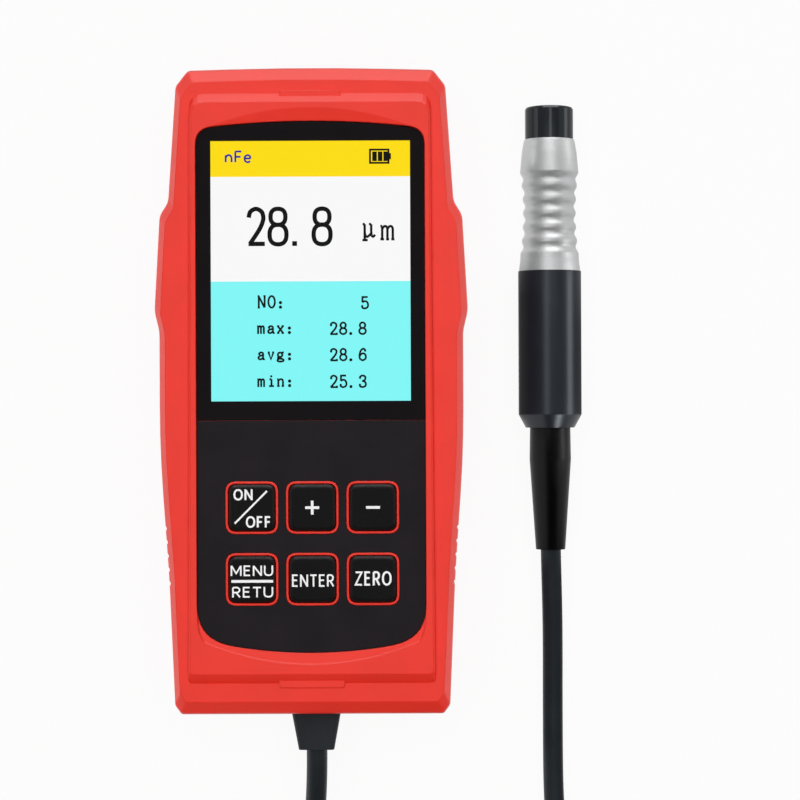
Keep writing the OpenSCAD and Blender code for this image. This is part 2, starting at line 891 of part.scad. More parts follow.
module main_board() {
    color([0.08, 0.36, 0.2])
        difference() {
            translate([-board_w / 2, board_low_y, board_low])
                cube([board_w, board_top_y - board_low_y, board_t]);
            for (b = bosses)
                translate([b.x, b.y, board_low - 1])
                    cylinder(h = board_t + 2, r = boss_r + boss_gap);
            for (p = posts)
                translate([p.x, p.y, board_low - 1])
                    cylinder(h = board_t + 2, r = board_screw_d / 2 + 0.15);
        }
}

// Chips under the board: [x, distance below the board's top edge, width, length]
chip_t = 1.2;
chips = [[0, 30.3, 10, 10], [-13, 33.3, 5, 6], [12, 43.3, 7, 5]];
module board_chips() {
    color([0.12, 0.12, 0.13])
        for (c = chips)
            translate([c[0], board_top_y - c[1], board_low - chip_t / 2])
                cube([c[2], c[3], chip_t], center = true);
}

buzzer_x = 10;
buzzer_in = 15.3;
buzzer_r = 6;
buzzer_h = 5.5;
buzzer_hole_r = 1;
module buzzer() {
    color([0.1, 0.1, 0.1])
        translate([buzzer_x, board_top_y - buzzer_in, board_low - buzzer_h])
            difference() {
                cylinder(h = buzzer_h, r = buzzer_r);
                translate([0, 0, -1])
                    cylinder(h = 1 + buzzer_hole_r, r = buzzer_hole_r);
            }
}

module board_screws() {
    color(steel)
        for (p = posts)
            translate([p.x, p.y, board_low])
                machine_screw(board_screw_d, board_t + board_reach, board_head_r, board_head_h);
}

// Lead header on the board, and the wires from the strain relief to it
header_w = 9;
header_len = 4;
header_h = 2.8;
header_y = board_low_y + 1;
module lead_header() {
    color([0.9, 0.88, 0.8])
        translate([relief_x - header_w / 2, header_y, board_top])
            cube([header_w, header_len, header_h]);
}

wire_r = 0.5;
wire_pitch = 1.1;
wire_start_z = relief_z + 0.4;
wire_end_z = board_top + header_h / 2;
wire_route = [
    [relief_back_y, wire_start_z], [relief_back_y + 0.6, wire_start_z],
    [bay_low_y - bay_wall - 0.2, bay_roof + bay_wall + 1.1], [bay_low_y, bay_roof + bay_wall + 1.7],
    [board_low_y - 2.2, board_low + 0.5], [board_low_y - 1.1, board_top + 0.7],
    [header_y - 0.8, wire_end_z], [header_y, wire_end_z]
];
module lead_wires() {
    color([0.8, 0.8, 0.78])
        for (k = [-1:1])
            tube([for (p = wire_route) [relief_x + k * wire_pitch, p.x, p.y]], wire_r, 8);
}

cell_nub_r = 1.9;
cell_nub_h = 1;
module battery_cells() {
    color([0.55, 0.57, 0.6]) {
        translate([-cell_x, bay_low_y + plate_t + spring_seat, cell_z])
            rotate([-90, 0, 0])
                battery_cell();
        translate([cell_x, bay_top_y - plate_t - spring_seat, cell_z])
            rotate([90, 0, 0])
                battery_cell();
    }
}

module battery_cell() {
    cylinder(h = cell_len - cell_nub_h, r = cell_d / 2);
    cylinder(h = cell_len, r = cell_nub_r);
}

plate_h = 8;
module contact_plates() {
    color(metal) {
        translate([0, bay_top_y - plate_t / 2, cell_z])
            cube([2 * bay_half - 2, plate_t, plate_h], center = true);
        for (side = [-1, 1])
            translate([side * cell_x, bay_low_y + plate_t / 2, cell_z])
                cube([plate_h, plate_t, plate_h], center = true);
    }
}

// A conical wire spring that stands on a plate
spring_turns = 3;
spring_foot_r = 3.4;
spring_top_r = 1.8;
function cone_spring(h, r0, r1, turns, wire) =
    [for (k = [0:turns * 12]) let (s = k / (turns * 12), r = r0 + (r1 - r0) * s, a = 360 * turns * s)
        [r * cos(a), r * sin(a), wire + (h - 2 * wire) * s]];
module contact_springs() {
    coil = cone_spring(spring_seat, spring_foot_r, spring_top_r, spring_turns, spring_wire);
    color(metal) {
        translate([-cell_x, bay_low_y + plate_t, cell_z])
            rotate([-90, 0, 0])
                tube(coil, spring_wire, 6);
        translate([cell_x, bay_top_y - plate_t, cell_z])
            rotate([90, 0, 0])
                tube(coil, spring_wire, 6);
    }
}

// A tapered block outside the wall, a neck in the wall's opening and a flange inside it
module strain_relief() {
    w = relief_w / 2;
    h = relief_h / 2;
    neck_w_in = relief_neck_w - 2 * run_gap;
    neck_h_in = relief_neck_h - 2 * run_gap;
    block = outline(rect_points(relief_w, relief_h, 1.2), 3);
    color(rubber)
        difference() {
            translate([relief_x, 0, relief_z]) {
                translate([0, -half_len - eps, 0])
                    rotate([90, 0, 0])
                        skin([
                            level(block, w, h, 0, 0, 0),
                            level(block, w, h, w * (1 - relief_tip), h * (1 - relief_tip), relief_len)
                        ]);
                translate([0, -half_len + wall / 2, 0])
                    cube([neck_w_in, wall + 1, neck_h_in], center = true);
                translate([0, relief_back_y - relief_flange_t / 2, 0])
                    cube([relief_w - 1, relief_flange_t, relief_h - 1], center = true);
            }
            translate([relief_x, 0, relief_z])
                rotate([90, 0, 0])
                    cylinder(h = half_len + relief_len + 1, r = lead_r + run_gap);
        }
}

module lead_from_gauge() {
    color(rubber)
        tube(gauge_route, lead_r, lead_sides);
}

module lead_to_probe() {
    color(rubber)
        tube(probe_route, lead_r, lead_sides);
}

module lead_coil() {
    e = coil_edge;
    color(rubber)
        translate([coil_at.x, coil_at.y, 0])
            rotate_extrude($fn = 96)
                polygon([
                    [coil_inner, coil_lift + e], [coil_inner + e, coil_lift], [coil_outer - e, coil_lift],
                    [coil_outer, coil_lift + e], [coil_outer, coil_top - e], [coil_outer - e, coil_top],
                    [coil_inner + e, coil_top], [coil_inner, coil_top - e]
                ]);
}

// A strap round the coil's bundle, on the side away from the case
tie_w = 6;
tie_t = 0.7;
module lead_tie() {
    near = sqrt(pow(coil_inner, 2) - pow(tie_w / 2, 2)) - loose_gap;
    far = coil_outer + loose_gap;
    inner = far - near;
    tall = coil_top - coil_lift + 2 * loose_gap;
    mid_y = coil_at.y - (near + far) / 2;
    color([0.15, 0.15, 0.16])
        translate([coil_at.x - tie_w / 2, mid_y, (coil_lift + coil_top) / 2])
            rotate([90, 0, 90])
                linear_extrude(tie_w)
                    difference() {
                        square([inner + 2 * tie_t, tall + 2 * tie_t], center = true);
                        square([inner, tall], center = true);
                    }
}

grip_chamfer = [1.35, 2.5];
module probe_grip() {
    bore = grip_r - grip_wall;
    mouth = boot_neck_r + run_gap;
    color(black)
        turned([
            [mouth, 0], [grip_r - grip_chamfer.x, 0], [grip_r, grip_chamfer.y], [grip_r, grip_len],
            [bore, grip_len], [bore, rear_wall], [mouth, rear_wall]
        ]);
}

// Outer line of the collar: a lip, narrow ridges with hollow valleys between them, and a plain band
function ridge_r(k) = ridge_waist + ridge_flare * pow(k - (ridges - 1) / 2, 2);
function ridge_at(k) = collar_at + ridge_first + (ridges - 1 - k) * ridge_pitch;
function valley(k) =
    let (from = ridge_at(k) - ridge_crest / 2, to = ridge_at(k + 1) + ridge_crest / 2)
    [for (i = [0:valley_steps]) let (s = i / valley_steps, sunk = ridge_depth * (1 - cos(360 * s)) / 2)
        [ridge_r(k) * (1 - s) + ridge_r(k + 1) * s - sunk, from * (1 - s) + to * s]];
collar_lip = [
    [head_r + run_gap + 0.1, collar_end], [head_r + 0.3, collar_end - 0.5], [head_r + 0.62, collar_end - 2.4]
];
collar_top = [[ridge_r(0), ridge_at(0) + ridge_crest / 2]];
collar_ridges = [for (k = [0:ridges - 2]) each valley(k)];
collar_band = [
    [ridge_r(ridges - 1), ridge_at(ridges - 1) - ridge_crest / 2],
    [grip_r - 0.42, collar_at + 2.3], [grip_r - 0.15, collar_at]
];

module probe_collar() {
    guide_r = stem_r + run_gap;
    seat_r = head_r + run_gap;
    inside = [
        [spigot_r, collar_at], [spigot_r, guide_end], [guide_r, guide_end],
        [guide_r, guide_at], [seat_r, guide_at], [seat_r, collar_end]
    ];
    color(metal)
        turned(concat(inside, collar_lip, collar_top, collar_ridges, collar_band));
}

boot_swell = 6;
module probe_boot() {
    bore = lead_r + run_gap;
    back = rear_wall + boot_back;
    color(rubber)
        turned([
            [bore, -boot_len], [boot_end_r, -boot_len], [boot_r, -boot_swell], [boot_r - 0.1, -eps],
            [boot_neck_r, -eps], [boot_neck_r, rear_wall + eps], [boot_neck_r + 1, rear_wall + eps],
            [boot_neck_r + 1, back], [bore, back]
        ]);
}

// Crimped ring that keeps the lead from being pulled out through the boot
ferrule_waist = 0.6;
module probe_ferrule() {
    at = rear_wall + boot_back + eps;
    waist_r = boot_neck_r - ferrule_waist;
    color(brass)
        turned([
            [0, at], [boot_neck_r, at], [boot_neck_r, at + 1], [waist_r, at + 1 + ferrule_waist],
            [waist_r, ferrule_top - 1], [boot_neck_r, ferrule_top - 1 + ferrule_waist],
            [boot_neck_r, ferrule_top], [0, ferrule_top]
        ]);
}

// Measuring head: a cup with a small hole in its face, open at the back
module probe_head() {
    hole_r = pole_r + run_gap;
    color(black)
        turned([
            [hole_r, head_end], [head_r - 0.6, head_end], [head_r - 0.2, head_end - 0.14],
            [head_r, head_end - 0.5], [head_r, head_back], [cup_r, head_back],
            [cup_r, head_end - cup_floor], [hole_r, head_end - cup_floor]
        ]);
}

// Stem that closes the cup, slides in the collar's guide and takes the clip
stem_bore = 1.5;
clip_seat_r = stem_r - 0.5;
clip_low = guide_end - clip_t - run_gap;
module head_stem() {
    groove_low = clip_low - run_gap;
    groove_top = clip_low + clip_t + run_gap;
    plug_r = cup_r - run_gap;
    plug_end = head_back + plug_h;
    color([0.2, 0.2, 0.22])
        turned([
            [stem_bore, stem_back], [stem_r, stem_back], [stem_r, groove_low], [clip_seat_r, groove_low],
            [clip_seat_r, groove_top], [stem_r, groove_top], [stem_r, head_back], [plug_r, head_back],
            [plug_r, plug_end], [stem_bore, plug_end]
        ]);
}

module stem_clip() {
    bore = clip_seat_r + run_gap;
    end = clip_low + clip_t;
    color(steel)
        turned([[bore, clip_low], [clip_r, clip_low], [clip_r, end], [bore, end]]);
}

// Pole with a rounded tip, on a foot that stands on the stem
module sensor_pole() {
    foot_at = head_back + plug_h + eps;
    foot_r = cup_r - 0.4;
    color(metal)
        turned([
            [0, foot_at], [foot_r, foot_at], [foot_r, foot_at + foot_h], [pole_r, foot_at + foot_h],
            [pole_r, head_end - 0.1], [pole_r * 0.6, head_end + 0.12], [0, head_end + 0.2]
        ]);
}

module sensor_winding() {
    at = head_back + plug_h + foot_h + 2 * eps;
    end = head_end - cup_floor - eps;
    inner_r = pole_r + run_gap;
    outer_r = cup_r - 0.3;
    color(copper)
        turned([[inner_r, at], [outer_r, at], [outer_r, end], [inner_r, end]]);
}

// Return spring between the ferrule and the stem
head_spring_r = 2.3;
head_spring_turns = 6;
module head_spring() {
    h = stem_back - ferrule_top;
    coil = cone_spring(h, head_spring_r, head_spring_r, head_spring_turns, spring_wire);
    color(steel)
        on_probe()
            translate([0, 0, ferrule_top])
                tube(coil, spring_wire, 6);
}

front_shell();
rear_shell();
battery_door();
case_screws();
display_lens();
lens_gasket();
lcd_glass();
lcd_frame();
lcd_pad();
lcd_ribbon();
ribbon_connector();
keypad_panel();
key_power();
key_plus();
key_minus();
key_menu();
key_enter();
key_zero();
dome_power();
dome_plus();
dome_minus();
dome_menu();
dome_enter();
dome_zero();
main_board();
board_chips();
buzzer();
board_screws();
lead_header();
lead_wires();
battery_cells();
contact_plates();
contact_springs();
strain_relief();
lead_from_gauge();
lead_coil();
lead_to_probe();
lead_tie();
probe_grip();
probe_collar();
probe_boot();
probe_ferrule();
probe_head();
head_stem();
stem_clip();
sensor_pole();
sensor_winding();
head_spring();
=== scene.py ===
import math

import bpy
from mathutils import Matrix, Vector


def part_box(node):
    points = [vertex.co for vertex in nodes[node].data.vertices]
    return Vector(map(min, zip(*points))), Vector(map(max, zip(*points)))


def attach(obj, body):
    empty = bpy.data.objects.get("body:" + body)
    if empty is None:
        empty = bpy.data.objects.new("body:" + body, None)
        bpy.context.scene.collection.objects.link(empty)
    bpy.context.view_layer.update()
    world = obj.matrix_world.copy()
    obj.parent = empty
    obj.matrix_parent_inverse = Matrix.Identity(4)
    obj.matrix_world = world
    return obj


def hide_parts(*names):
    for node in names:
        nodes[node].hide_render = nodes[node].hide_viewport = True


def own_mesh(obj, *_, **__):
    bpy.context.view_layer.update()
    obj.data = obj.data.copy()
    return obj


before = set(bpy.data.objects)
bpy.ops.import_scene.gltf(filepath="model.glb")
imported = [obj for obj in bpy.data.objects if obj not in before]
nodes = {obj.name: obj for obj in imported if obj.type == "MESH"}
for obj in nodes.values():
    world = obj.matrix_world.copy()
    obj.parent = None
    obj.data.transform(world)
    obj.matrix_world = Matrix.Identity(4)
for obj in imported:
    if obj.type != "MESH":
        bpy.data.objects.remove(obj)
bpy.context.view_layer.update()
scene = bpy.context.scene
scene.view_settings.view_transform = "Standard"

MM = 0.001
KEYS = ("power", "plus", "minus", "menu", "enter", "zero")


def mm(x, y, z):
    return Vector((x * MM, y * MM, z * MM))


def in_scene(name, data):
    thing = bpy.data.objects.new(name, data)
    scene.collection.objects.link(thing)
    return thing


# Camera: straight above, between the gauge and the probe
SENSOR, LENS = 36.0, 104.64
CLIP_START = 0.01
CAMERA_PLACE = mm(16.35, -1.84, 450)
CAMERA_TURN = -0.004
cam_data = bpy.data.cameras.new("camera")
cam_data.sensor_width = SENSOR
cam_data.lens = LENS
cam_data.clip_start = CLIP_START
camera = in_scene("camera", cam_data)
camera.location = CAMERA_PLACE
camera.rotation_euler.z = CAMERA_TURN
scene.camera = camera


# Materials: each has its own grain in colour, roughness and relief
def linear(r, g, b):
    """A screen colour, 0 to 255, in Blender's linear values."""
    def one(v):
        v /= 255.0
        return v / 12.92 if v <= 0.04045 else ((v + 0.055) / 1.055) ** 2.4
    return (one(r), one(g), one(b), 1.0)


def scaled(colour, k):
    return (colour[0] * k, colour[1] * k, colour[2] * k, 1.0)


class Graph:
    """A node tree, with short calls for the nodes that are used here."""

    def __init__(self, owner):
        owner.use_nodes = True
        self.tree = owner.node_tree

    def add(self, kind, **settings):
        node = self.tree.nodes.new(kind)
        for key, value in settings.items():
            setattr(node, key, value)
        return node

    def link(self, a, b):
        self.tree.links.new(a, b)

    def calc(self, operation, a, b=None):
        """A Math node on a, and on b where it is given: an output or a number."""
        node = self.add("ShaderNodeMath", operation=operation)
        self.link(a, node.inputs[0])
        if isinstance(b, float):
            node.inputs[1].default_value = b
        elif b is not None:
            self.link(b, node.inputs[1])
        return node.outputs[0]

    def fade(self, value, at, to, **settings):
        """The range at of value becomes the range to, and stays inside it."""
        node = self.add("ShaderNodeMapRange", **settings)
        node.inputs["From Min"].default_value, node.inputs["From Max"].default_value = at
        node.inputs["To Min"].default_value, node.inputs["To Max"].default_value = to
        self.link(value, node.inputs["Value"])
        return node.outputs["Result"]


NOISE_ENDS = (0.3, 0.7)
BEVEL_SAMPLES = 4


class Surface(Graph):
    """A Principled material with a coordinate, and calls that add grain to it."""

    def __init__(self, name, **values):
        self.material = bpy.data.materials.new(name)
        super().__init__(self.material)
        self.bsdf = self.tree.nodes["Principled BSDF"]
        self.coord = self.add("ShaderNodeTexCoord").outputs["Object"]
        self.normal = None
        for key, value in values.items():
            self.bsdf.inputs[key.replace("_", " ")].default_value = value

    def stretched(self, scale):
        node = self.add("ShaderNodeMapping")
        node.inputs["Scale"].default_value = scale
        self.link(self.coord, node.inputs["Vector"])
        return node.outputs["Vector"]

    def noise(self, scale, detail=2.0, rough=0.5, vector=None):
        node = self.add("ShaderNodeTexNoise")
        node.inputs["Scale"].default_value = scale
        node.inputs["Detail"].default_value = detail
        node.inputs["Roughness"].default_value = rough
        self.link(self.coord if vector is None else vector, node.inputs["Vector"])
        return node.outputs["Fac"]

    def colour(self, fac, low, high):
        node = self.add("ShaderNodeValToRGB")
        ends = node.color_ramp.elements
        ends[0].position, ends[1].position = NOISE_ENDS
        ends[0].color, ends[1].color = low, high
        self.link(fac, node.inputs["Fac"])
        self.link(node.outputs["Color"], self.bsdf.inputs["Base Color"])

    def rough(self, fac, ends):
        self.link(self.fade(fac, NOISE_ENDS, ends), self.bsdf.inputs["Roughness"])

    def soft_edges(self, radius):
        node = self.add("ShaderNodeBevel", samples=BEVEL_SAMPLES)
        node.inputs["Radius"].default_value = radius
        self.normal = node.outputs["Normal"]

    def bump(self, fac, strength, depth):
        node = self.add("ShaderNodeBump")
        node.inputs["Strength"].default_value = strength
        node.inputs["Distance"].default_value = depth
        self.link(fac, node.inputs["Height"])
        if self.normal is not None:
            self.link(self.normal, node.inputs["Normal"])
        self.link(node.outputs["Normal"], self.bsdf.inputs["Normal"])


NEUTRAL, COOL = (1, 1, 1, 1), (0.86, 0.94, 1.0, 1)
CLOUD_SCALE = 140
ROUGH_SHARE = 0.4
PLASTIC_DEPTH = 0.00004
LATHE_STRETCH = 60
METAL_RELIEF, METAL_DEPTH = 0.06, 0.00002


def plastic(name, low, high, rough, grain, edge, specular=0.5, relief=0.12, tint=NEUTRAL):
    """Plastic, rubber or ink: pairs of colours and roughnesses, the grain's scale and the edges' radius."""
    s = Surface(name, Specular_IOR_Level=specular, Specular_Tint=tint)
    s.soft_edges(edge)
    s.colour(s.noise(CLOUD_SCALE, 4), low, high)
    s.rough(s.noise(grain * ROUGH_SHARE, 3), rough)
    s.bump(s.noise(grain, 3, 0.6), relief, PLASTIC_DEPTH)
    return s.material


def turned_metal(name, low, high, rough, edge, stretch=(1, LATHE_STRETCH, 1)):
    """Metal with fine lines round the axis along which the grain is stretched."""
    s = Surface(name, Metallic=1.0)
    s.soft_edges(edge)
    lines = s.stretched(stretch)
    s.colour(s.noise(260, 3, 0.6, lines), low, high)
    s.rough(s.noise(420, 3, 0.6, lines), rough)
    s.bump(s.noise(600, 2, 0.5, lines), METAL_RELIEF, METAL_DEPTH)
    return s.material


def lens_material():
    s = Surface("lens_clear", Transmission_Weight=1.0, IOR=1.35, Base_Color=(1, 1, 1, 1))
    s.rough(s.noise(60, 3), (0.0, 0.012))
    return s.material


LATTICE, LATTICE_LINE, LATTICE_SOFT, LATTICE_DIM = 0.000153, 0.00001, 0.3, 0.8


def glow(name, colour, strength):
    """A lit layer of the display, with the faint lattice of its dots."""
    s = Surface(name, Specular_IOR_Level=0.05, Roughness=0.4, Base_Color=(0.004, 0.004, 0.004, 1),
        Emission_Strength=strength)
    dots = s.add("ShaderNodeTexBrick", offset=0.0, squash=1.0)
    for key, value in {"Scale": 1.0, "Mortar Size": LATTICE_LINE, "Mortar Smooth": LATTICE_SOFT,
            "Brick Width": LATTICE, "Row Height": LATTICE, "Color1": colour, "Color2": colour,
            "Mortar": scaled(colour, LATTICE_DIM)}.items():
        dots.inputs[key].default_value = value
    s.link(s.coord, dots.inputs["Vector"])
    s.link(dots.outputs["Color"], s.bsdf.inputs["Emission Color"])
    return s.material


RED = linear(245, 38, 10)
red_plastic = plastic("red_plastic", scaled(RED, 0.97), scaled(RED, 1.03), (0.36, 0.46), 5200, 0.0003)
black_plastic = plastic("black_plastic", (0.010, 0.010, 0.011, 1), (0.014, 0.014, 0.015, 1),
    (0.4, 0.5), 4200, 0.0002, 0.4)
key_black = plastic("key_black", (0.0012, 0.0010, 0.0011, 1), (0.0020, 0.0017, 0.0018, 1),
    (0.26, 0.34), 5200, 0.0005, 0.45)
keypad_film = plastic("keypad_film", (0.0092, 0.0066, 0.0088, 1), (0.0120, 0.0084, 0.0112, 1),
    (0.3, 0.38), 6000, 0.0001, 0.3)
gasket_black = plastic("gasket_black", (0.0220, 0.0150, 0.0190, 1), (0.0270, 0.0190, 0.0230, 1),
    (0.5, 0.6), 3000, 0.0001, 0.3)
sleeve_black = plastic("sleeve_black", (0.0100, 0.0125, 0.0170, 1), (0.0130, 0.0155, 0.0210, 1),
    (0.28, 0.34), 7000, 0.0002, 0.5, 0.06, COOL)
gloss_black = plastic("gloss_black", (0.0085, 0.0100, 0.0125, 1), (0.0115, 0.0130, 0.0160, 1),
    (0.12, 0.18), 2600, 0.0002, 0.5, 0.03, COOL)
boot_rubber = plastic("boot_rubber", (0.0003, 0.0003, 0.0003, 1), (0.0007, 0.0007, 0.0008, 1),
    (0.34, 0.42), 3800, 0.0002, 0.22)
relief_rubber = plastic("relief_rubber", (0.015, 0.018, 0.022, 1), (0.020, 0.024, 0.028, 1),
    (0.45, 0.55), 3800, 0.0003, 0.3)
lead_rubber = plastic("lead_rubber", (0.0095, 0.0125, 0.0150, 1), (0.0135, 0.0170, 0.0200, 1),
    (0.42, 0.52), 3400, 0.0001, 0.35, tint=COOL)
foam = plastic("grey_foam", (0.04, 0.04, 0.045, 1), (0.07, 0.07, 0.075, 1),
    (0.8, 0.95), 1800, 0.0001, 0.2, 0.6)
white_plastic = plastic("white_plastic", (0.72, 0.71, 0.66, 1), (0.80, 0.79, 0.74, 1),
    (0.4, 0.5), 3000, 0.0002)
key_rubber = plastic("key_rubber", (0.45, 0.45, 0.43, 1), (0.52, 0.52, 0.50, 1),
    (0.55, 0.7), 3000, 0.0002, 0.3)
ribbon = plastic("ribbon", (0.50, 0.32, 0.08, 1), (0.60, 0.40, 0.12, 1), (0.35, 0.45), 2400, 0.00005)
board_green = plastic("board_green", (0.014, 0.11, 0.045, 1), (0.024, 0.16, 0.07, 1),
    (0.3, 0.45), 1500, 0.0001)
cell_wrap = plastic("cell_wrap", (0.26, 0.28, 0.31, 1), (0.33, 0.35, 0.38, 1), (0.25, 0.35), 1500, 0.0002)
bright_metal = turned_metal("bright_metal", (0.80, 0.805, 0.81, 1), (0.88, 0.885, 0.89, 1),
    (0.42, 0.5), 0.00012)
steel = turned_metal("steel", (0.50, 0.51, 0.53, 1), (0.62, 0.63, 0.65, 1), (0.22, 0.34), 0.0001,
    (1, 1, LATHE_STRETCH))
brass = turned_metal("brass", (0.66, 0.46, 0.16, 1), (0.78, 0.57, 0.24, 1), (0.2, 0.32), 0.0001)
copper = turned_metal("copper", (0.62, 0.25, 0.11, 1), (0.76, 0.34, 0.17, 1), (0.25, 0.4), 0.00005)
lens_clear = lens_material()
lcd_yellow = glow("lcd_yellow", linear(255, 222, 0), 1.06)
lcd_white = glow("lcd_white", linear(250, 250, 250), 1.06)
lcd_cyan = glow("lcd_cyan", linear(130, 248, 248), 1.06)
lcd_ink = plastic("lcd_ink", (0.0004, 0.0004, 0.0006, 1), (0.001, 0.001, 0.0012, 1),
    (0.5, 0.6), 6000, 0.00001, 0.02)
lcd_blue = glow("lcd_blue", linear(24, 34, 160), 1.0)
lcd_sheet = plastic("lcd_sheet", (0.60, 0.76, 0.78, 1), (0.70, 0.84, 0.86, 1), (0.2, 0.3), 3000, 0.0001)
border_ink = plastic("border_ink", (0.0052, 0.0034, 0.0048, 1), (0.0066, 0.0046, 0.0060, 1),
    (0.04, 0.08), 6000, 0.00002, 0.25, 0.01)
legend_white = plastic("legend_white", (0.95, 0.95, 0.95, 1), (1.0, 1.0, 1.0, 1),
    (0.5, 0.6), 6000, 0.00002, 0.2)

FINISH = {
    red_plastic: ("front_shell", "rear_shell", "battery_door"),
    black_plastic: ("board_chips", "buzzer", "head_stem", "lead_tie"),
    key_black: ["key_" + key for key in KEYS],
    keypad_film: ("keypad_panel",),
    gasket_black: ("lens_gasket",),
    sleeve_black: ("probe_grip",),
    gloss_black: ("probe_head",),
    boot_rubber: ("probe_boot",),
    relief_rubber: ("strain_relief",),
    lead_rubber: ("lead_wires", "lead_from_gauge", "lead_coil", "lead_to_probe"),
    foam: ("lcd_pad",),
    white_plastic: ("lcd_frame", "ribbon_connector", "lead_header"),
    key_rubber: ["dome_" + key for key in KEYS],
    ribbon: ("lcd_ribbon",),
    board_green: ("main_board",),
    cell_wrap: ("battery_cells",),
    bright_metal: ("probe_collar",),
    steel: ("case_screws", "board_screws", "contact_plates", "contact_springs", "stem_clip",
        "sensor_pole", "head_spring"),
    brass: ("probe_ferrule",),
    copper: ("sensor_winding",),
    lens_clear: ("display_lens",),
    lcd_sheet: ("lcd_glass",),
}
for material, names in FINISH.items():
    for name in names:
        nodes[name].data.materials.clear()
        nodes[name].data.materials.append(material)


# Meshes from code
def mesh_piece(name, verts, faces, material, body):
    data = bpy.data.meshes.new(name)
    data.from_pydata([tuple(v) for v in verts], [], faces)
    data.materials.append(material)
    piece = in_scene(name, data)
    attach(piece, body)
    return piece


class Shape:
    """Flat figures gathered into one mesh, each a thin plate."""

    MITRE_MOST, MITRE_LEAST = 1.6, 0.4

    def __init__(self, low, high):
        self.low, self.high = low, high
        self.verts, self.faces = [], []

    def plate(self, outline):
        n, first = len(outline), len(self.verts)
        for z in (self.low, self.high):
            self.verts += [mm(x, y, z) for x, y in outline]
        self.faces.append([first + n + i for i in range(n)])
        self.faces.append([first + i for i in reversed(range(n))])
        for i in range(n):
            j = (i + 1) % n
            self.faces.append([first + i, first + j, first + n + j, first + n + i])

    def box(self, x0, y0, x1, y1):
        self.plate([(x0, y0), (x1, y0), (x1, y1), (x0, y1)])

    def dot(self, x, y, r, steps=16):
        turns = [2 * math.pi * k / steps for k in range(steps)]
        self.plate([(x + r * math.cos(a), y + r * math.sin(a)) for a in turns])

    def ribbon(self, line, width, closed=False):
        """A stroke of even width along a line of points."""
        n = len(line)
        left, right = [], []
        for i, (x, y) in enumerate(line):
            a = line[(i - 1) % n] if closed or i > 0 else line[i]
            b = line[(i + 1) % n] if closed or i < n - 1 else line[i]
            d0 = Vector((x - a[0], y - a[1]))
            d1 = Vector((b[0] - x, b[1] - y))
            d0 = d0.normalized() if d0.length > 0 else d1.normalized()
            d1 = d1.normalized() if d1.length > 0 else d0
            t = (d0 + d1).normalized() if (d0 + d1).length > 1e-6 else d0
            grow = min(self.MITRE_MOST, 1 / max(self.MITRE_LEAST, t.dot(d0)))
            off = Vector((-t.y, t.x)) * width / 2 * grow
            left.append((x + off.x, y + off.y))
            right.append((x - off.x, y - off.y))
        first, up = len(self.verts), 2 * n
        for z in (self.low, self.high):
            self.verts += [mm(x, y, z) for x, y in left + right]
        for i in range(n if closed else n - 1):
            j = (i + 1) % n
            a, b, c, d = first + i, first + j, first + n + j, first + n + i
            self.faces.append([d + up, c + up, b + up, a + up])
            self.faces.append([a, b, c, d])
            self.faces.append([a + up, b + up, b, a])
            self.faces.append([d, c, c + up, d + up])
        if not closed:
            for k in (0, n - 1):
                a, d = first + k, first + n + k
                self.faces.append([a, d, d + up, a + up])

    def piece(self, name, material, body, slot):
        return mesh_piece(name, self.verts, self.faces, material, body)


def smooth_line(points, steps=6):
    """A line through the points, rounded between them."""
    out = []
    for i in range(len(points) - 1):
        p0 = points[max(i - 1, 0)]
        p1, p2 = points[i], points[i + 1]
        p3 = points[min(i + 2, len(points) - 1)]
        for k in range(steps):
            t = k / steps
            out.append(tuple(0.5 * (2 * b + (c - a) * t + (2 * a - 5 * b + 4 * c - d) * t * t
                + (3 * b - a - 3 * c + d) * t ** 3) for a, b, c, d in zip(p0, p1, p2, p3)))
    out.append(points[-1])
    return out


def loop(cx, cy, rx, ry, power=2.0, steps=40):
    """A closed ring of points, squarer where power is above 2."""
    out = []
    for k in range(steps):
        c, s = math.cos(2 * math.pi * k / steps), math.sin(2 * math.pi * k / steps)
        out.append((cx + rx * math.copysign(abs(c) ** (2 / power), c),
            cy + ry * math.copysign(abs(s) ** (2 / power), s)))
    return out


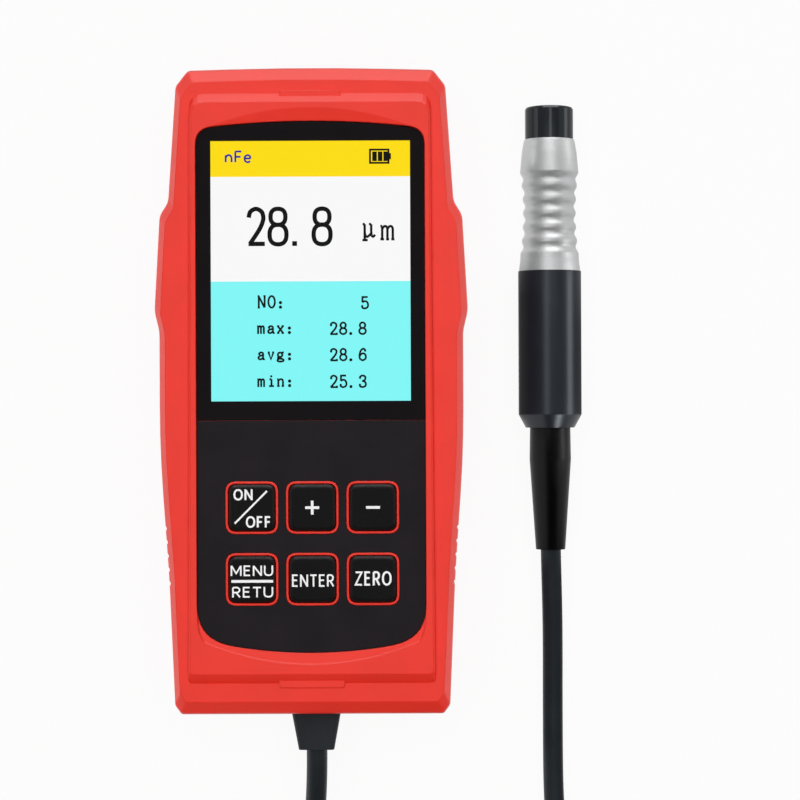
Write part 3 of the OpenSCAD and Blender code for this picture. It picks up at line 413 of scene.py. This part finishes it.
# Strokes of the display's figures in a unit box: l straight, s rounded, o closed loop, d dot
GLYPHS = {
    "2": [("s", [(0.10, 0.74), (0.14, 0.90), (0.5, 1.0), (0.88, 0.89), (0.93, 0.70), (0.74, 0.46),
        (0.36, 0.2), (0.04, 0.0)]), ("l", [(0.0, 0.0), (1.0, 0.0), (1.0, 0.13)]), ("d", (0.12, 0.77))],
    "3": [("s", [(0.08, 0.80), (0.18, 0.93), (0.5, 1.0), (0.84, 0.91), (0.9, 0.76), (0.76, 0.59),
        (0.4, 0.53)]), ("s", [(0.4, 0.53), (0.8, 0.46), (0.97, 0.27), (0.86, 0.08), (0.48, 0.0),
        (0.14, 0.06), (0.06, 0.2)]), ("d", (0.1, 0.8)), ("d", (0.08, 0.2))],
    "5": [("l", [(0.92, 1.0), (0.14, 1.0), (0.12, 0.54)]), ("s", [(0.12, 0.52), (0.4, 0.63), (0.76, 0.59),
        (0.97, 0.35), (0.88, 0.11), (0.5, 0.0), (0.14, 0.06), (0.06, 0.2)]), ("d", (0.1, 0.2))],
    "6": [("s", [(0.9, 0.84), (0.8, 0.95), (0.56, 1.0), (0.22, 0.83), (0.04, 0.45), (0.09, 0.16),
        (0.5, 0.0), (0.9, 0.13), (0.98, 0.32), (0.86, 0.52), (0.52, 0.6), (0.2, 0.5), (0.05, 0.34)]),
        ("d", (0.87, 0.84))],
    "8": [("o", loop(0.5, 0.76, 0.40, 0.24)), ("o", loop(0.5, 0.26, 0.49, 0.26))],
    "N": [("l", [(0.14, 1.0), (0.14, 0.0)]), ("l", [(0.12, 1.0), (0.86, 0.0)]), ("l", [(0.87, 1.0),
        (0.87, 0.0)]), ("l", [(0.0, 1.0), (0.2, 1.0)]), ("l", [(0.0, 0.0), (0.28, 0.0)]),
        ("l", [(0.72, 1.0), (1.0, 1.0)])],
    "O": [("o", loop(0.5, 0.5, 0.48, 0.5))],
    "m": [("l", [(0.13, 1.0), (0.13, 0.0)]), ("s", [(0.13, 0.78), (0.26, 0.97), (0.42, 0.97), (0.5, 0.8)]),
        ("l", [(0.5, 0.82), (0.5, 0.0)]), ("s", [(0.5, 0.78), (0.64, 0.97), (0.8, 0.97), (0.88, 0.8)]),
        ("l", [(0.88, 0.82), (0.88, 0.0)]), ("l", [(0.0, 1.0), (0.14, 1.0)]), ("l", [(0.0, 0.0),
        (0.26, 0.0)]), ("l", [(0.4, 0.0), (0.62, 0.0)]), ("l", [(0.77, 0.0), (1.0, 0.0)])],
    "a": [("s", [(0.14, 0.78), (0.27, 0.95), (0.52, 1.0), (0.73, 0.88), (0.76, 0.6)]), ("s", [(0.76, 0.62),
        (0.76, 0.15), (0.86, 0.0), (1.0, 0.07)]), ("s", [(0.76, 0.6), (0.36, 0.52), (0.08, 0.32),
        (0.13, 0.07), (0.36, 0.0), (0.62, 0.1), (0.76, 0.27)]), ("d", (0.18, 0.78))],
    "x": [("l", [(0.12, 1.0), (0.88, 0.0)]), ("l", [(0.86, 1.0), (0.12, 0.0)]), ("l", [(0.0, 1.0),
        (0.34, 1.0)]), ("l", [(0.66, 1.0), (1.0, 1.0)]), ("l", [(0.0, 0.0), (0.34, 0.0)]),
        ("l", [(0.64, 0.0), (1.0, 0.0)])],
    "v": [("l", [(0.13, 1.0), (0.5, 0.0), (0.86, 1.0)]), ("l", [(0.0, 1.0), (0.34, 1.0)]),
        ("l", [(0.68, 1.0), (1.0, 1.0)])],
    "g": [("o", loop(0.44, 0.66, 0.33, 0.32)), ("l", [(0.7, 0.88), (0.86, 1.0), (1.0, 0.98)]),
        ("s", [(0.22, 0.38), (0.12, 0.22), (0.3, 0.1), (0.7, 0.06), (0.96, -0.1), (0.84, -0.28),
        (0.45, -0.34), (0.1, -0.26), (0.06, -0.1), (0.24, 0.06)])],
    "i": [("l", [(0.52, 1.0), (0.52, 0.0)]), ("l", [(0.18, 1.0), (0.52, 1.0)]), ("l", [(0.12, 0.0),
        (0.92, 0.0)]), ("d", (0.48, 1.42))],
    "n": [("l", [(0.17, 1.0), (0.17, 0.0)]), ("s", [(0.17, 0.74), (0.4, 0.97), (0.7, 0.97), (0.84, 0.74)]),
        ("l", [(0.84, 0.76), (0.84, 0.0)]), ("l", [(0.0, 1.0), (0.18, 1.0)]), ("l", [(0.0, 0.0),
        (0.36, 0.0)]), ("l", [(0.64, 0.0), (1.0, 0.0)])],
    "plain_n": [("l", [(0.0, 1.0), (0.0, 0.0)]), ("s", [(0.0, 0.66), (0.3, 0.97), (0.74, 0.97),
        (1.0, 0.64)]), ("l", [(1.0, 0.68), (1.0, 0.0)])],
    "plain_F": [("l", [(0.0, 0.0), (0.0, 1.0)]), ("l", [(0.0, 1.0), (1.0, 1.0)]), ("l", [(0.0, 0.5),
        (0.86, 0.5)])],
    "plain_e": [("l", [(0.02, 0.53), (0.98, 0.53)]), ("s", [(0.98, 0.53), (0.9, 0.83), (0.52, 1.0),
        (0.12, 0.83), (0.0, 0.5), (0.14, 0.15), (0.54, 0.0), (0.94, 0.16)])],
    "tall_2": [("s", [(0.0, 0.75), (0.12, 0.92), (0.5, 1.0), (0.88, 0.92), (1.0, 0.76), (0.94, 0.61),
        (0.74, 0.42), (0.42, 0.21), (0.08, 0.0)]), ("l", [(-0.02, 0.0), (1.1, 0.0)])],
    "tall_8": [("o", loop(0.5, 0.775, 0.44, 0.225, 2.4)), ("o", loop(0.5, 0.275, 0.5, 0.275, 2.4))],
    "mu": [("l", [(0.18, 1.0), (0.18, 0.03)]), ("l", [(0.0, 0.0), (0.42, 0.0)]), ("l", [(0.02, 1.0),
        (0.2, 1.0)]), ("l", [(0.52, 1.0), (0.7, 1.0)]), ("s", [(0.7, 1.0), (0.7, 0.5), (0.74, 0.28),
        (0.86, 0.22), (1.0, 0.34)]), ("s", [(0.18, 0.5), (0.25, 0.27), (0.42, 0.22), (0.7, 0.42)])],
}

# The display: a picture of lit dots under the lens, in a border printed on the lens
PICTURE_LOW, PICTURE_HIGH, INK_HIGH = 22.02, 22.06, 22.09
PICTURE_WIDE = 36.7
DOTS_WIDE, DOTS_HIGH = 240, 313
DOT = PICTURE_WIDE / DOTS_WIDE
SCREEN_LEFT, SCREEN_TOP = -PICTURE_WIDE / 2, 45.9
BORDER_IN, BORDER_LOW, BORDER_HIGH = 0.997, 0.002, 0.010
BANDS = (("lcd_status", 0, 43, lcd_yellow), ("lcd_reading", 43, 169, lcd_white),
    ("lcd_table", 169, DOTS_HIGH, lcd_cyan))


def at_dot(column, row):
    return SCREEN_LEFT + column * DOT, SCREEN_TOP - row * DOT


def dot_box(shape, left, top, right, base):
    """A filled box between the given columns and rows of dots."""
    x0, y0 = at_dot(left, base)
    x1, y1 = at_dot(right, top)
    shape.box(x0, y0, x1, y1)


for name, first, last, material in BANDS:
    band = Shape(PICTURE_LOW, PICTURE_HIGH)
    dot_box(band, 0, first, DOTS_WIDE, last)
    band.piece(name, material, "gauge", "lcd")


def lens_border():
    """A ring of ink between the lens's rim and the picture."""
    mesh = nodes["display_lens"].data
    top = max(v.co.z for v in mesh.vertices)
    rim = {(round(v.co.x / MM, 3), round(v.co.y / MM, 3)) for v in mesh.vertices
        if v.co.z > top - 0.01 * MM}
    x0, y1 = at_dot(0, 0)
    x1, y0 = at_dot(DOTS_WIDE, DOTS_HIGH)
    cx, cy = (x0 + x1) / 2, (y0 + y1) / 2

    def turn(p):
        return math.atan2(p[1] - cy, p[0] - cx)

    around = [(cx + (x - cx) * BORDER_IN, cy + (y - cy) * BORDER_IN) for x, y in rim]
    around.sort(key=turn)
    # A point of the rim is added in the direction of each of the picture's corners
    for x, y in ((x0, y0), (x1, y0), (x1, y1), (x0, y1)):
        at = next((i for i, p in enumerate(around) if turn(p) > turn((x, y))), 0)
        (ax, ay), (bx, by) = around[at - 1], around[at]
        dx, dy = bx - ax, by - ay
        reach = ((ax - cx) * dy - (ay - cy) * dx) / ((x - cx) * dy - (y - cy) * dx)
        around.insert(at, (cx + (x - cx) * reach, cy + (y - cy) * reach))
    # The hole's points lie on the picture's edge, in the same directions as the rim's
    inner = []
    for x, y in around:
        k = min((x1 - x0) / 2 / max(abs(x - cx), 1e-6), (y1 - y0) / 2 / max(abs(y - cy), 1e-6))
        inner.append((cx + (x - cx) * k, cy + (y - cy) * k))
    n = len(around)
    verts = [mm(x, y, top / MM + up) for up in (BORDER_LOW, BORDER_HIGH) for x, y in around + inner]
    faces = []
    for i in range(n):
        j = (i + 1) % n
        low_out, low_in, high_out, high_in = ((k * n + i, k * n + j) for k in range(4))
        faces += [(high_out[0], high_out[1], high_in[1], high_in[0]),
            (low_out[1], low_out[0], low_in[0], low_in[1]),
            (low_out[0], low_out[1], high_out[1], high_out[0]),
            (low_in[1], low_in[0], high_in[0], high_in[1])]
    mesh_piece("lens_border", verts, faces, border_ink, "gauge")


lens_border()

BALL = 1.2


def glyph(shape, name, left, top, right, base, stroke):
    """One figure with its ink between the given columns and rows of dots."""
    half = stroke / 2
    wide, tall = right - left - stroke, base - top - stroke

    def place(p):
        return at_dot(left + half + p[0] * wide, base - half - p[1] * tall)

    for kind, points in GLYPHS[name]:
        if kind == "d":
            x, y = place(points)
            shape.dot(x, y, BALL * stroke / 2 * DOT)
        else:
            line = smooth_line(points) if kind == "s" else points
            shape.ribbon([place(p) for p in line], stroke * DOT, kind == "o")


# Figures with their first column, top row, last column, base row and stroke
MODE = (("plain_n", 17.3, 15.8, 26.6, 26.4, 2.2), ("plain_F", 28.9, 11.4, 38.4, 26.4, 2.2),
    ("plain_e", 40.0, 15.8, 49.4, 26.6, 2.2))
READING = (("tall_2", 43.1, 79.0, 66.0, 126.4, 5.3), ("tall_8", 68.2, 79.0, 93.8, 127.0, 5.3),
    ("tall_8", 121.2, 79.0, 146.8, 127.0, 5.3), ("mu", 181.0, 99.0, 199.2, 121.2, 3.0),
    ("m", 202.6, 101.4, 222.6, 120.2, 3.0))
READING_POINT = (98.0, 120.6, 103.8, 126.4)
BATTERY_CASE = ((192.0, 10.9), (214.2, 10.9), (214.2, 26.8), (192.0, 26.8))
BATTERY_LINE = 2.3
BATTERY_BARS, BAR_WIDE, BAR_TOP, BAR_BASE = (194.7, 201.4, 208.1), 5.5, 13.2, 24.7
BATTERY_END = (215.1, 15.2, 217.2, 22.6)

status = Shape(PICTURE_HIGH, INK_HIGH)
for figure in MODE:
    glyph(status, *figure)
status.piece("lcd_mode", lcd_blue, "gauge", "lcd")

reading = Shape(PICTURE_HIGH, INK_HIGH)
for figure in READING:
    glyph(reading, *figure)
dot_box(reading, *READING_POINT)
reading.piece("lcd_figures", lcd_ink, "gauge", "lcd")

battery = Shape(PICTURE_HIGH, INK_HIGH)
battery.ribbon([at_dot(*corner) for corner in BATTERY_CASE], BATTERY_LINE * DOT, True)
for left in BATTERY_BARS:
    dot_box(battery, left, BAR_TOP, left + BAR_WIDE, BAR_BASE)
dot_box(battery, *BATTERY_END)
battery.piece("lcd_battery", lcd_ink, "gauge", "lcd")

# The table's rows: base line, label with the columns of its letters, colon, and value
CAP, LOW = 16.2, 10.6
ROW_STROKE = 2.35
ROWS = (
    (201.6, (("N", 55.0, 67.0, CAP), ("O", 67.8, 78.2, CAP)), 83.6, ""),
    (232.2, (("m", 54.2, 65.8, LOW), ("a", 67.0, 77.6, LOW), ("x", 78.2, 88.8, LOW)), 94.2, "288"),
    (263.8, (("a", 55.2, 65.6, LOW), ("v", 66.8, 77.0, LOW), ("g", 78.2, 88.6, LOW)), 94.2, "286"),
    (296.0, (("m", 54.2, 65.8, LOW), ("i", 67.4, 77.2, LOW), ("n", 78.0, 88.8, LOW)), 94.2, "253"),
)
COUNT = ("5", 180.0, 187.0, 190.4, 203.0, ROW_STROKE)
COLON_DOTS, COLON_R = (1.7, 7.1), 2.0
VALUE_COLUMNS = ((142.2, 152.4), (153.8, 164.0), (177.0, 187.4))
VALUE_DOWN = 1.6
POINT_COLUMN, POINT_UP, POINT_R = 168.0, 0.2, 1.9
table = Shape(PICTURE_HIGH, INK_HIGH)
for base, letters, colon, value in ROWS:
    for name, left, right, tall in letters:
        glyph(table, name, left, base - tall, right, base, ROW_STROKE)
    for up in COLON_DOTS:
        x, y = at_dot(colon, base - up)
        table.dot(x, y, COLON_R * DOT)
    for name, (left, right) in zip(value, VALUE_COLUMNS):
        glyph(table, name, left, base + VALUE_DOWN - CAP, right, base + VALUE_DOWN, ROW_STROKE)
    if value:
        x, y = at_dot(POINT_COLUMN, base - POINT_UP)
        table.dot(x, y, POINT_R * DOT)
glyph(table, *COUNT)
table.piece("lcd_rows", lcd_ink, "gauge", "lcd")

# Capitals for the keys in a unit box, each with its width
CAPITALS = {
    "E": (0.60, [("l", [(1.0, 1.0), (0.0, 1.0), (0.0, 0.0), (1.0, 0.0)]), ("l", [(0.0, 0.53),
        (0.9, 0.53)])]),
    "F": (0.58, [("l", [(1.0, 1.0), (0.0, 1.0), (0.0, -0.06)]), ("l", [(0.0, 0.5), (0.9, 0.5)])]),
    "M": (1.00, [("l", [(0.0, -0.06), (0.0, 1.06)]), ("l", [(1.0, -0.06), (1.0, 1.06)]), ("l", [(0.03, 1.0),
        (0.5, 0.2), (0.97, 1.0)])]),
    "N": (0.80, [("l", [(0.0, -0.06), (0.0, 1.06)]), ("l", [(1.0, -0.06), (1.0, 1.06)]), ("l", [(0.03, 1.0),
        (0.97, 0.0)])]),
    "O": (0.96, [("o", loop(0.5, 0.5, 0.5, 0.5, 2.2))]),
    "R": (0.70, [("l", [(0.0, -0.06), (0.0, 1.0)]), ("s", [(0.0, 1.0), (0.3, 1.0), (0.58, 1.0), (0.86, 0.9),
        (0.93, 0.74), (0.84, 0.56), (0.58, 0.47), (0.3, 0.46), (0.0, 0.46)]), ("l", [(0.46, 0.46),
        (1.0, -0.04)])]),
    "T": (0.74, [("l", [(-0.04, 1.0), (1.04, 1.0)]), ("l", [(0.5, 1.0), (0.5, -0.06)])]),
    "U": (0.80, [("s", [(0.0, 1.06), (0.0, 0.7), (0.0, 0.34), (0.13, 0.09), (0.5, 0.0), (0.87, 0.09),
        (1.0, 0.34), (1.0, 0.7), (1.0, 1.06)])]),
    "Z": (0.76, [("l", [(0.0, 1.0), (1.0, 1.0), (0.0, 0.0), (1.04, 0.0)])]),
}
LETTER_GAP = 0.2
INK_SUNK, INK, INK_STEP = 0.01, 0.014, 0.0012


class KeyPrint(Shape):
    """Ink on one key. Each stroke lies a hair above the one before, so that none share a face."""

    def __init__(self, key):
        low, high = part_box(key)
        self.key, self.mid = key, (low + high) / 2 / MM
        super().__init__(high.z / MM - INK_SUNK, high.z / MM + INK)

    def stroke(self, line, width, closed=False):
        self.ribbon([(self.mid.x + x, self.mid.y + y) for x, y in line], width, closed)
        self.high += INK_STEP

    def words(self, text, x0, y0, x1, y1, weight):
        total = sum(CAPITALS[c][0] for c in text) + LETTER_GAP * (len(text) - 1)
        unit = (x1 - x0 - weight * len(text)) / total
        left = x0
        for c in text:
            wide, strokes = CAPITALS[c]
            for kind, points in strokes:
                line = smooth_line(points) if kind == "s" else points
                self.stroke([(left + weight / 2 + x * wide * unit,
                    y0 + weight / 2 + y * (y1 - y0 - weight)) for x, y in line], weight, kind == "o")
            left += (wide + LETTER_GAP) * unit + weight


# Legends printed on the keys, in millimetres from the middle of each key: words with their box
# and weight, then lines with their width
LEGENDS = {
    "power": ((("ON", -3.33, 1.36, 0.20, 3.46, 0.35), ("OFF", -1.06, -3.66, 3.57, -1.52, 0.35)),
        ((((-3.10, -2.86), (2.82, 3.08)), 0.34),)),
    "plus": ((), ((((-1.28, 0), (1.28, 0)), 0.49), (((0, -1.28), (0, 1.28)), 0.49))),
    "minus": ((), ((((-1.24, 0), (1.32, 0)), 0.49),)),
    "menu": ((("MENU", -3.90, 0.64, 3.90, 2.62, 0.3), ("RETU", -3.63, -3.30, 3.90, -1.30, 0.3)),
        ((((-3.76, -0.31), (3.90, -0.31)), 0.5),)),
    "enter": ((("ENTER", -3.76, -1.36, 3.98, 0.93, 0.31),), ()),
    "zero": ((("ZERO", -3.39, -1.19, 3.41, 1.45, 0.37),), ()),
}
for key, (words, lines) in LEGENDS.items():
    ink = KeyPrint("key_" + key)
    for word in words:
        ink.words(*word)
    for line, width in lines:
        ink.stroke(line, width)
    ink.piece("legend_" + key, legend_white, "key_" + key, "white_plastic")

# The lead: out of the gauge, through a coil of two layers, and up to the probe, as in part.scad
LEAD_D = 3.9
GAUGE_ROUTE = [(0.5, -57.0, 13), (0.5, -62.0, 13), (0.5, -67.1, 13), (0.5, -71, 12.7), (0.3, -76, 11.2),
    (-0.1, -81, 8.8), (-0.9, -86, 6.2), (-2.0, -91, 4.2), (-3.1, -96, 3.1), (-4.1, -101, 2.8),
    (-4.6, -107, 2.75)]
PROBE_ROUTE = [(50.4, -110, 6.65), (49.4, -105, 6.45), (48.05, -98, 5.7), (46.8, -91, 4.2),
    (45.95, -84, 2.9), (45.6, -77, 2.15), (45.55, -70, 1.95), (45.55, -63, 1.95), (45.55, -56, 2.05),
    (45.55, -50, 2.6), (45.45, -44, 3.8), (45.25, -38, 5.3), (45, -30.4, 6), (45, -22, 6), (45, -14, 6),
    (45, -6, 6)]
COIL_X, COIL_Y = 23.0, -112.0
R_OUT, R_IN, R_END = 27.65, 15.8, 27.4
Z_LOW, Z_HIGH = 2.75, 6.65
STEPS, LAYER_TURNS, CLIMB_TURNS = 24, 3, 0.5
COIL_TURNS = 2 * LAYER_TURNS + CLIMB_TURNS


def coil_point(turns):
    """A point of the coil: inwards in the lower layer, up, and outwards in the upper one."""
    angle = math.pi + 2 * math.pi * turns
    if turns <= LAYER_TURNS:
        r, z = R_OUT + (R_IN - R_OUT) * turns / LAYER_TURNS, Z_LOW
    elif turns <= LAYER_TURNS + CLIMB_TURNS:
        climb = (turns - LAYER_TURNS) / CLIMB_TURNS
        r, z = R_IN, Z_LOW + (Z_HIGH - Z_LOW) * (0.5 - 0.5 * math.cos(math.pi * climb))
    else:
        r, z = R_IN + (R_END - R_IN) * (turns - LAYER_TURNS - CLIMB_TURNS) / LAYER_TURNS, Z_HIGH
    return COIL_X + r * math.cos(angle), COIL_Y + r * math.sin(angle), z


coil = [coil_point(k / STEPS) for k in range(1, round(STEPS * COIL_TURNS))]
route = [mm(*p) for p in GAUGE_ROUTE + coil + PROBE_ROUTE]
lead_data = bpy.data.curves.new("probe_lead", "CURVE")
lead_data.dimensions = "3D"
lead_data.bevel_depth = LEAD_D / 2 * MM
lead_data.bevel_resolution = 5
lead_data.resolution_u = 4
spline = lead_data.splines.new("NURBS")
spline.points.add(len(route) - 1)
for point, p in zip(spline.points, route):
    point.co = (p.x, p.y, p.z, 1.0)
spline.order_u = 4
spline.use_endpoint_u = True
lead_data.materials.append(lead_rubber)
lead = in_scene("probe_lead", lead_data)
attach(lead, "gauge")
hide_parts("lead_from_gauge", "lead_coil", "lead_to_probe")

# The domes under the keys and the head's spring each get a copy of their own mesh
KEY_TRAVEL, HEAD_TRAVEL = 0.0006, 0.003


def shortens(name, joint, axis, travel):
    low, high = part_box(name)
    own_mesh(nodes[name], joint, axis=axis, anchor=tuple(low),
        keep=1 - travel / (high - low).dot(Vector(axis)))


for key in KEYS:
    shortens("dome_" + key, key + "_press", (0, 0, 1), KEY_TRAVEL)
shortens("head_spring", "head_press", (0, 1, 0), HEAD_TRAVEL)


# Studio: a white table, a soft box above, panels behind, and strips and cards round the probe
def area_light(name, place, turn, width, length, bright):
    """A panel that faces down until it is turned. bright is the light that it sends out, where 1 is white."""
    data = bpy.data.lights.new(name, "AREA")
    data.shape = "RECTANGLE"
    data.size, data.size_y = width, length
    data.energy = bright * math.pi * width * length
    lamp = in_scene(name, data)
    lamp.location = place
    lamp.rotation_euler = turn
    lamp.visible_camera = False
    lamp.visible_transmission = False
    return lamp


def gloss_panel(*values):
    """A panel that is seen only in gloss."""
    lamp = area_light(*values)
    lamp.visible_diffuse = False
    return lamp


BACK_TURN, HIGH_TURN = (math.radians(-75), 0, 0), (math.radians(-36), 0, 0)
soft_box = area_light("soft_box", (0.0, 0.02, 0.9), (0, 0, 0), 0.9, 0.9, 2.42)
soft_box.visible_glossy = False
back_panel = gloss_panel("back_panel", (0.02, 0.7, 0.2), BACK_TURN, 0.8, 0.35, 3.2)
# The metal collar, whose ridges that panel would turn white, has a wider and dimmer one in its place
collar_panel = gloss_panel("collar_panel", (0.045, 0.7, 0.2), BACK_TURN, 1.8, 0.35, 2.0)
for panel, state in ((back_panel, "EXCLUDE"), (collar_panel, "INCLUDE")):
    lit = bpy.data.collections.new("lit_by_" + panel.name)
    lit.objects.link(nodes["probe_collar"])
    lit.collection_objects[0].light_linking.link_state = state
    panel.light_linking.receiver_collection = lit
gloss_panel("high_panel", (0.0, 0.41, 0.57), HIGH_TURN, 0.6, 0.22, 1.0)

# A grid on a panel narrows its light. Blender keeps the power the same, so a share of it keeps the brightness
GRID = math.radians(70)
GRID_SHARE = 1 - GRID / 2 / math.tan(GRID / 2)


def grid_panel(name, place, turn, width, length, bright):
    lamp = gloss_panel(name, place, turn, width, length, bright * GRID_SHARE)
    lamp.data.spread = GRID


PROBE_X, PROBE_Z = 45, 6
# Strips along the probe: angle from upright towards +X, distance, place along Y, width, length and brightness
STRIPS = (
    ("tip_strip", 3, 0.04, 60, 0.007, 0.030, 1.9),
    ("tip_side_strip", 78, 0.025, 58, 0.008, 0.022, 1.9),
    ("tip_left_strip", -58, 0.009, 53, 0.004, 0.020, 1.2),
    ("collar_strip", 0, 0.04, 35, 0.040, 0.040, 0.5),
    ("sleeve_strip", -14, 0.04, 8, 0.010, 0.044, 1.8),
    ("sleeve_side_strip", 67, 0.025, 5, 0.009, 0.040, 4.4),
)
for name, degrees, distance, y, width, length, bright in STRIPS:
    a = math.radians(degrees)
    place = mm(PROBE_X, y, PROBE_Z) + Vector((math.sin(a), 0, math.cos(a))) * distance
    grid_panel(name, place, (0, a, 0), width, length, bright)

# A small panel for the chamfer at the sleeve's lower end
CHAMFER, CHAMFER_DISTANCE = mm(46.4, -5.4, 11.5), 0.02
chamfer_way = Vector((0.40, -0.78, 0.48)).normalized()
grid_panel("chamfer_panel", CHAMFER + chamfer_way * CHAMFER_DISTANCE,
    chamfer_way.to_track_quat("Z", "Y").to_euler(), 0.008, 0.006, 13.0)


class StageLook(Graph):
    """A material of the stage, made of two shaders."""

    def __init__(self, name):
        self.material = bpy.data.materials.new(name)
        super().__init__(self.material)
        self.tree.nodes.clear()

    def light(self, strength):
        """Light of an even strength, or of one from another node."""
        node = self.add("ShaderNodeEmission")
        node.inputs["Color"].default_value = (1, 1, 1, 1)
        if isinstance(strength, float):
            node.inputs["Strength"].default_value = strength
        else:
            self.link(strength, node.inputs["Strength"])
        return node.outputs[0]

    def mixed(self, share, first, second):
        mix = self.add("ShaderNodeMixShader")
        self.link(share, mix.inputs["Fac"])
        self.link(first, mix.inputs[1])
        self.link(second, mix.inputs[2])
        self.link(mix.outputs[0], self.add("ShaderNodeOutputMaterial").inputs["Surface"])
        return self.material


FLOOR_HALF, FLOOR_Z = 2.5, -0.0002
FLOOR_GREY, FLOOR_WHITE = 0.85, 0.92


def floor_material():
    """White where it is seen, with a share left for the object's shadow."""
    look = StageLook("white_table")
    diffuse = look.add("ShaderNodeBsdfDiffuse")
    diffuse.inputs["Color"].default_value = (FLOOR_GREY, FLOOR_GREY, FLOOR_GREY, 1)
    path = look.add("ShaderNodeLightPath").outputs
    seen = look.calc("MAXIMUM", path["Is Camera Ray"], path["Is Glossy Ray"])
    seen = look.calc("MAXIMUM", seen, path["Is Transmission Ray"])
    return look.mixed(look.calc("MULTIPLY", seen, FLOOR_WHITE), diffuse.outputs[0], look.light(1.0))


floor_mesh = bpy.data.meshes.new("floor")
floor_mesh.from_pydata([(x * FLOOR_HALF, y * FLOOR_HALF, 0) for x, y in ((-1, -1), (1, -1), (1, 1), (-1, 1))],
    [], [(0, 1, 2, 3)])
floor_mesh.materials.append(floor_material())
floor = in_scene("floor", floor_mesh)
floor.location.z = FLOOR_Z

# Cards seen only in gloss: white towards the gauge's sides, grey towards the probe, and black above the boot
CARD_CORNERS = (
    # between the gauge and the probe
    (37, -70, 0.5), (37, 70, 0.5), (37, 70, 22), (37, -70, 22),
    # on the table beyond the probe, and up from there
    (52, -120, 0.1), (52, 100, 0.1), (76, 100, 0.1), (76, -120, 0.1), (76, 100, 40), (76, -120, 40),
    # left of the gauge
    (-37, -70, 0.5), (-37, 70, 0.5), (-37, 70, 22), (-37, -70, 22),
    # above the boot
    (34, -36, 22), (56, -36, 22), (56, -8, 22), (34, -8, 22),
)
CARD_FACES = ((0, 1, 2, 3), (4, 7, 6, 5), (7, 9, 8, 6), (10, 13, 12, 11), (14, 15, 16, 17))
CARD_LOOKS = (0, 1, 1, 0, 2)
CARD_WHITE = 1.4
CARD_UPPER = (0.008, 0.011)
BOOT_BACK, BOOT_ENDS, BOOT_LIGHT = 0.020, (0.012, 0.016), 0.9


def card_material(name, along, levels, top_share):
    """White at the back, and in front dim beside the sleeve and brighter beside the collar and the boot."""
    look = StageLook(name)
    side = look.add("ShaderNodeNewGeometry").outputs
    split = look.add("ShaderNodeSeparateXYZ")
    look.link(side["Position"], split.inputs[0])
    y, z = split.outputs["Y"], split.outputs["Z"]
    level = look.calc("MULTIPLY", look.fade(y, along, levels), look.fade(z, CARD_UPPER, (1.0, top_share)))
    from_boot = look.calc("ABSOLUTE", look.calc("ADD", y, BOOT_BACK))
    level = look.calc("MAXIMUM", level, look.fade(from_boot, BOOT_ENDS, (BOOT_LIGHT, 0.0)))
    return look.mixed(side["Backfacing"], look.light(level), look.light(CARD_WHITE))


card_mesh = bpy.data.meshes.new("cards")
card_mesh.from_pydata([mm(*corner) for corner in CARD_CORNERS], [], CARD_FACES)
card_mesh.materials.append(card_material("left_cards", (0.018, 0.026), (0.2, 0.60), 0.45))
card_mesh.materials.append(card_material("right_cards", (0.012, 0.024), (0.2, 0.53), 1.0))
card_mesh.materials.append(Surface("black_card", Base_Color=(0, 0, 0, 1), Specular_IOR_Level=0.0).material)
for face, look in zip(card_mesh.polygons, CARD_LOOKS):
    face.material_index = look
cards = in_scene("cards", card_mesh)
cards.visible_camera = False
cards.visible_diffuse = False
cards.visible_shadow = False
cards.visible_transmission = False

# The room: bright round the horizon, dim overhead, and darker at the front end
RISE_AT, RISE_LIGHT = (0.25, 0.75), (0.75, 0.24)
FRONT_AT, FRONT_SHARE = (-0.75, 0.1), (0.35, 1.0)
world = bpy.data.worlds.new("room")
scene.world = world
room = Graph(world)
background = room.tree.nodes["Background"]
background.inputs["Color"].default_value = (1, 1, 1, 1)
split = room.add("ShaderNodeSeparateXYZ")
room.link(room.add("ShaderNodeTexCoord").outputs["Generated"], split.inputs[0])
rise = room.fade(split.outputs["Z"], RISE_AT, RISE_LIGHT, interpolation_type="SMOOTHSTEP")
front = room.fade(split.outputs["Y"], FRONT_AT, FRONT_SHARE, interpolation_type="SMOOTHSTEP")
room.link(room.calc("MULTIPLY", rise, front), background.inputs["Strength"])
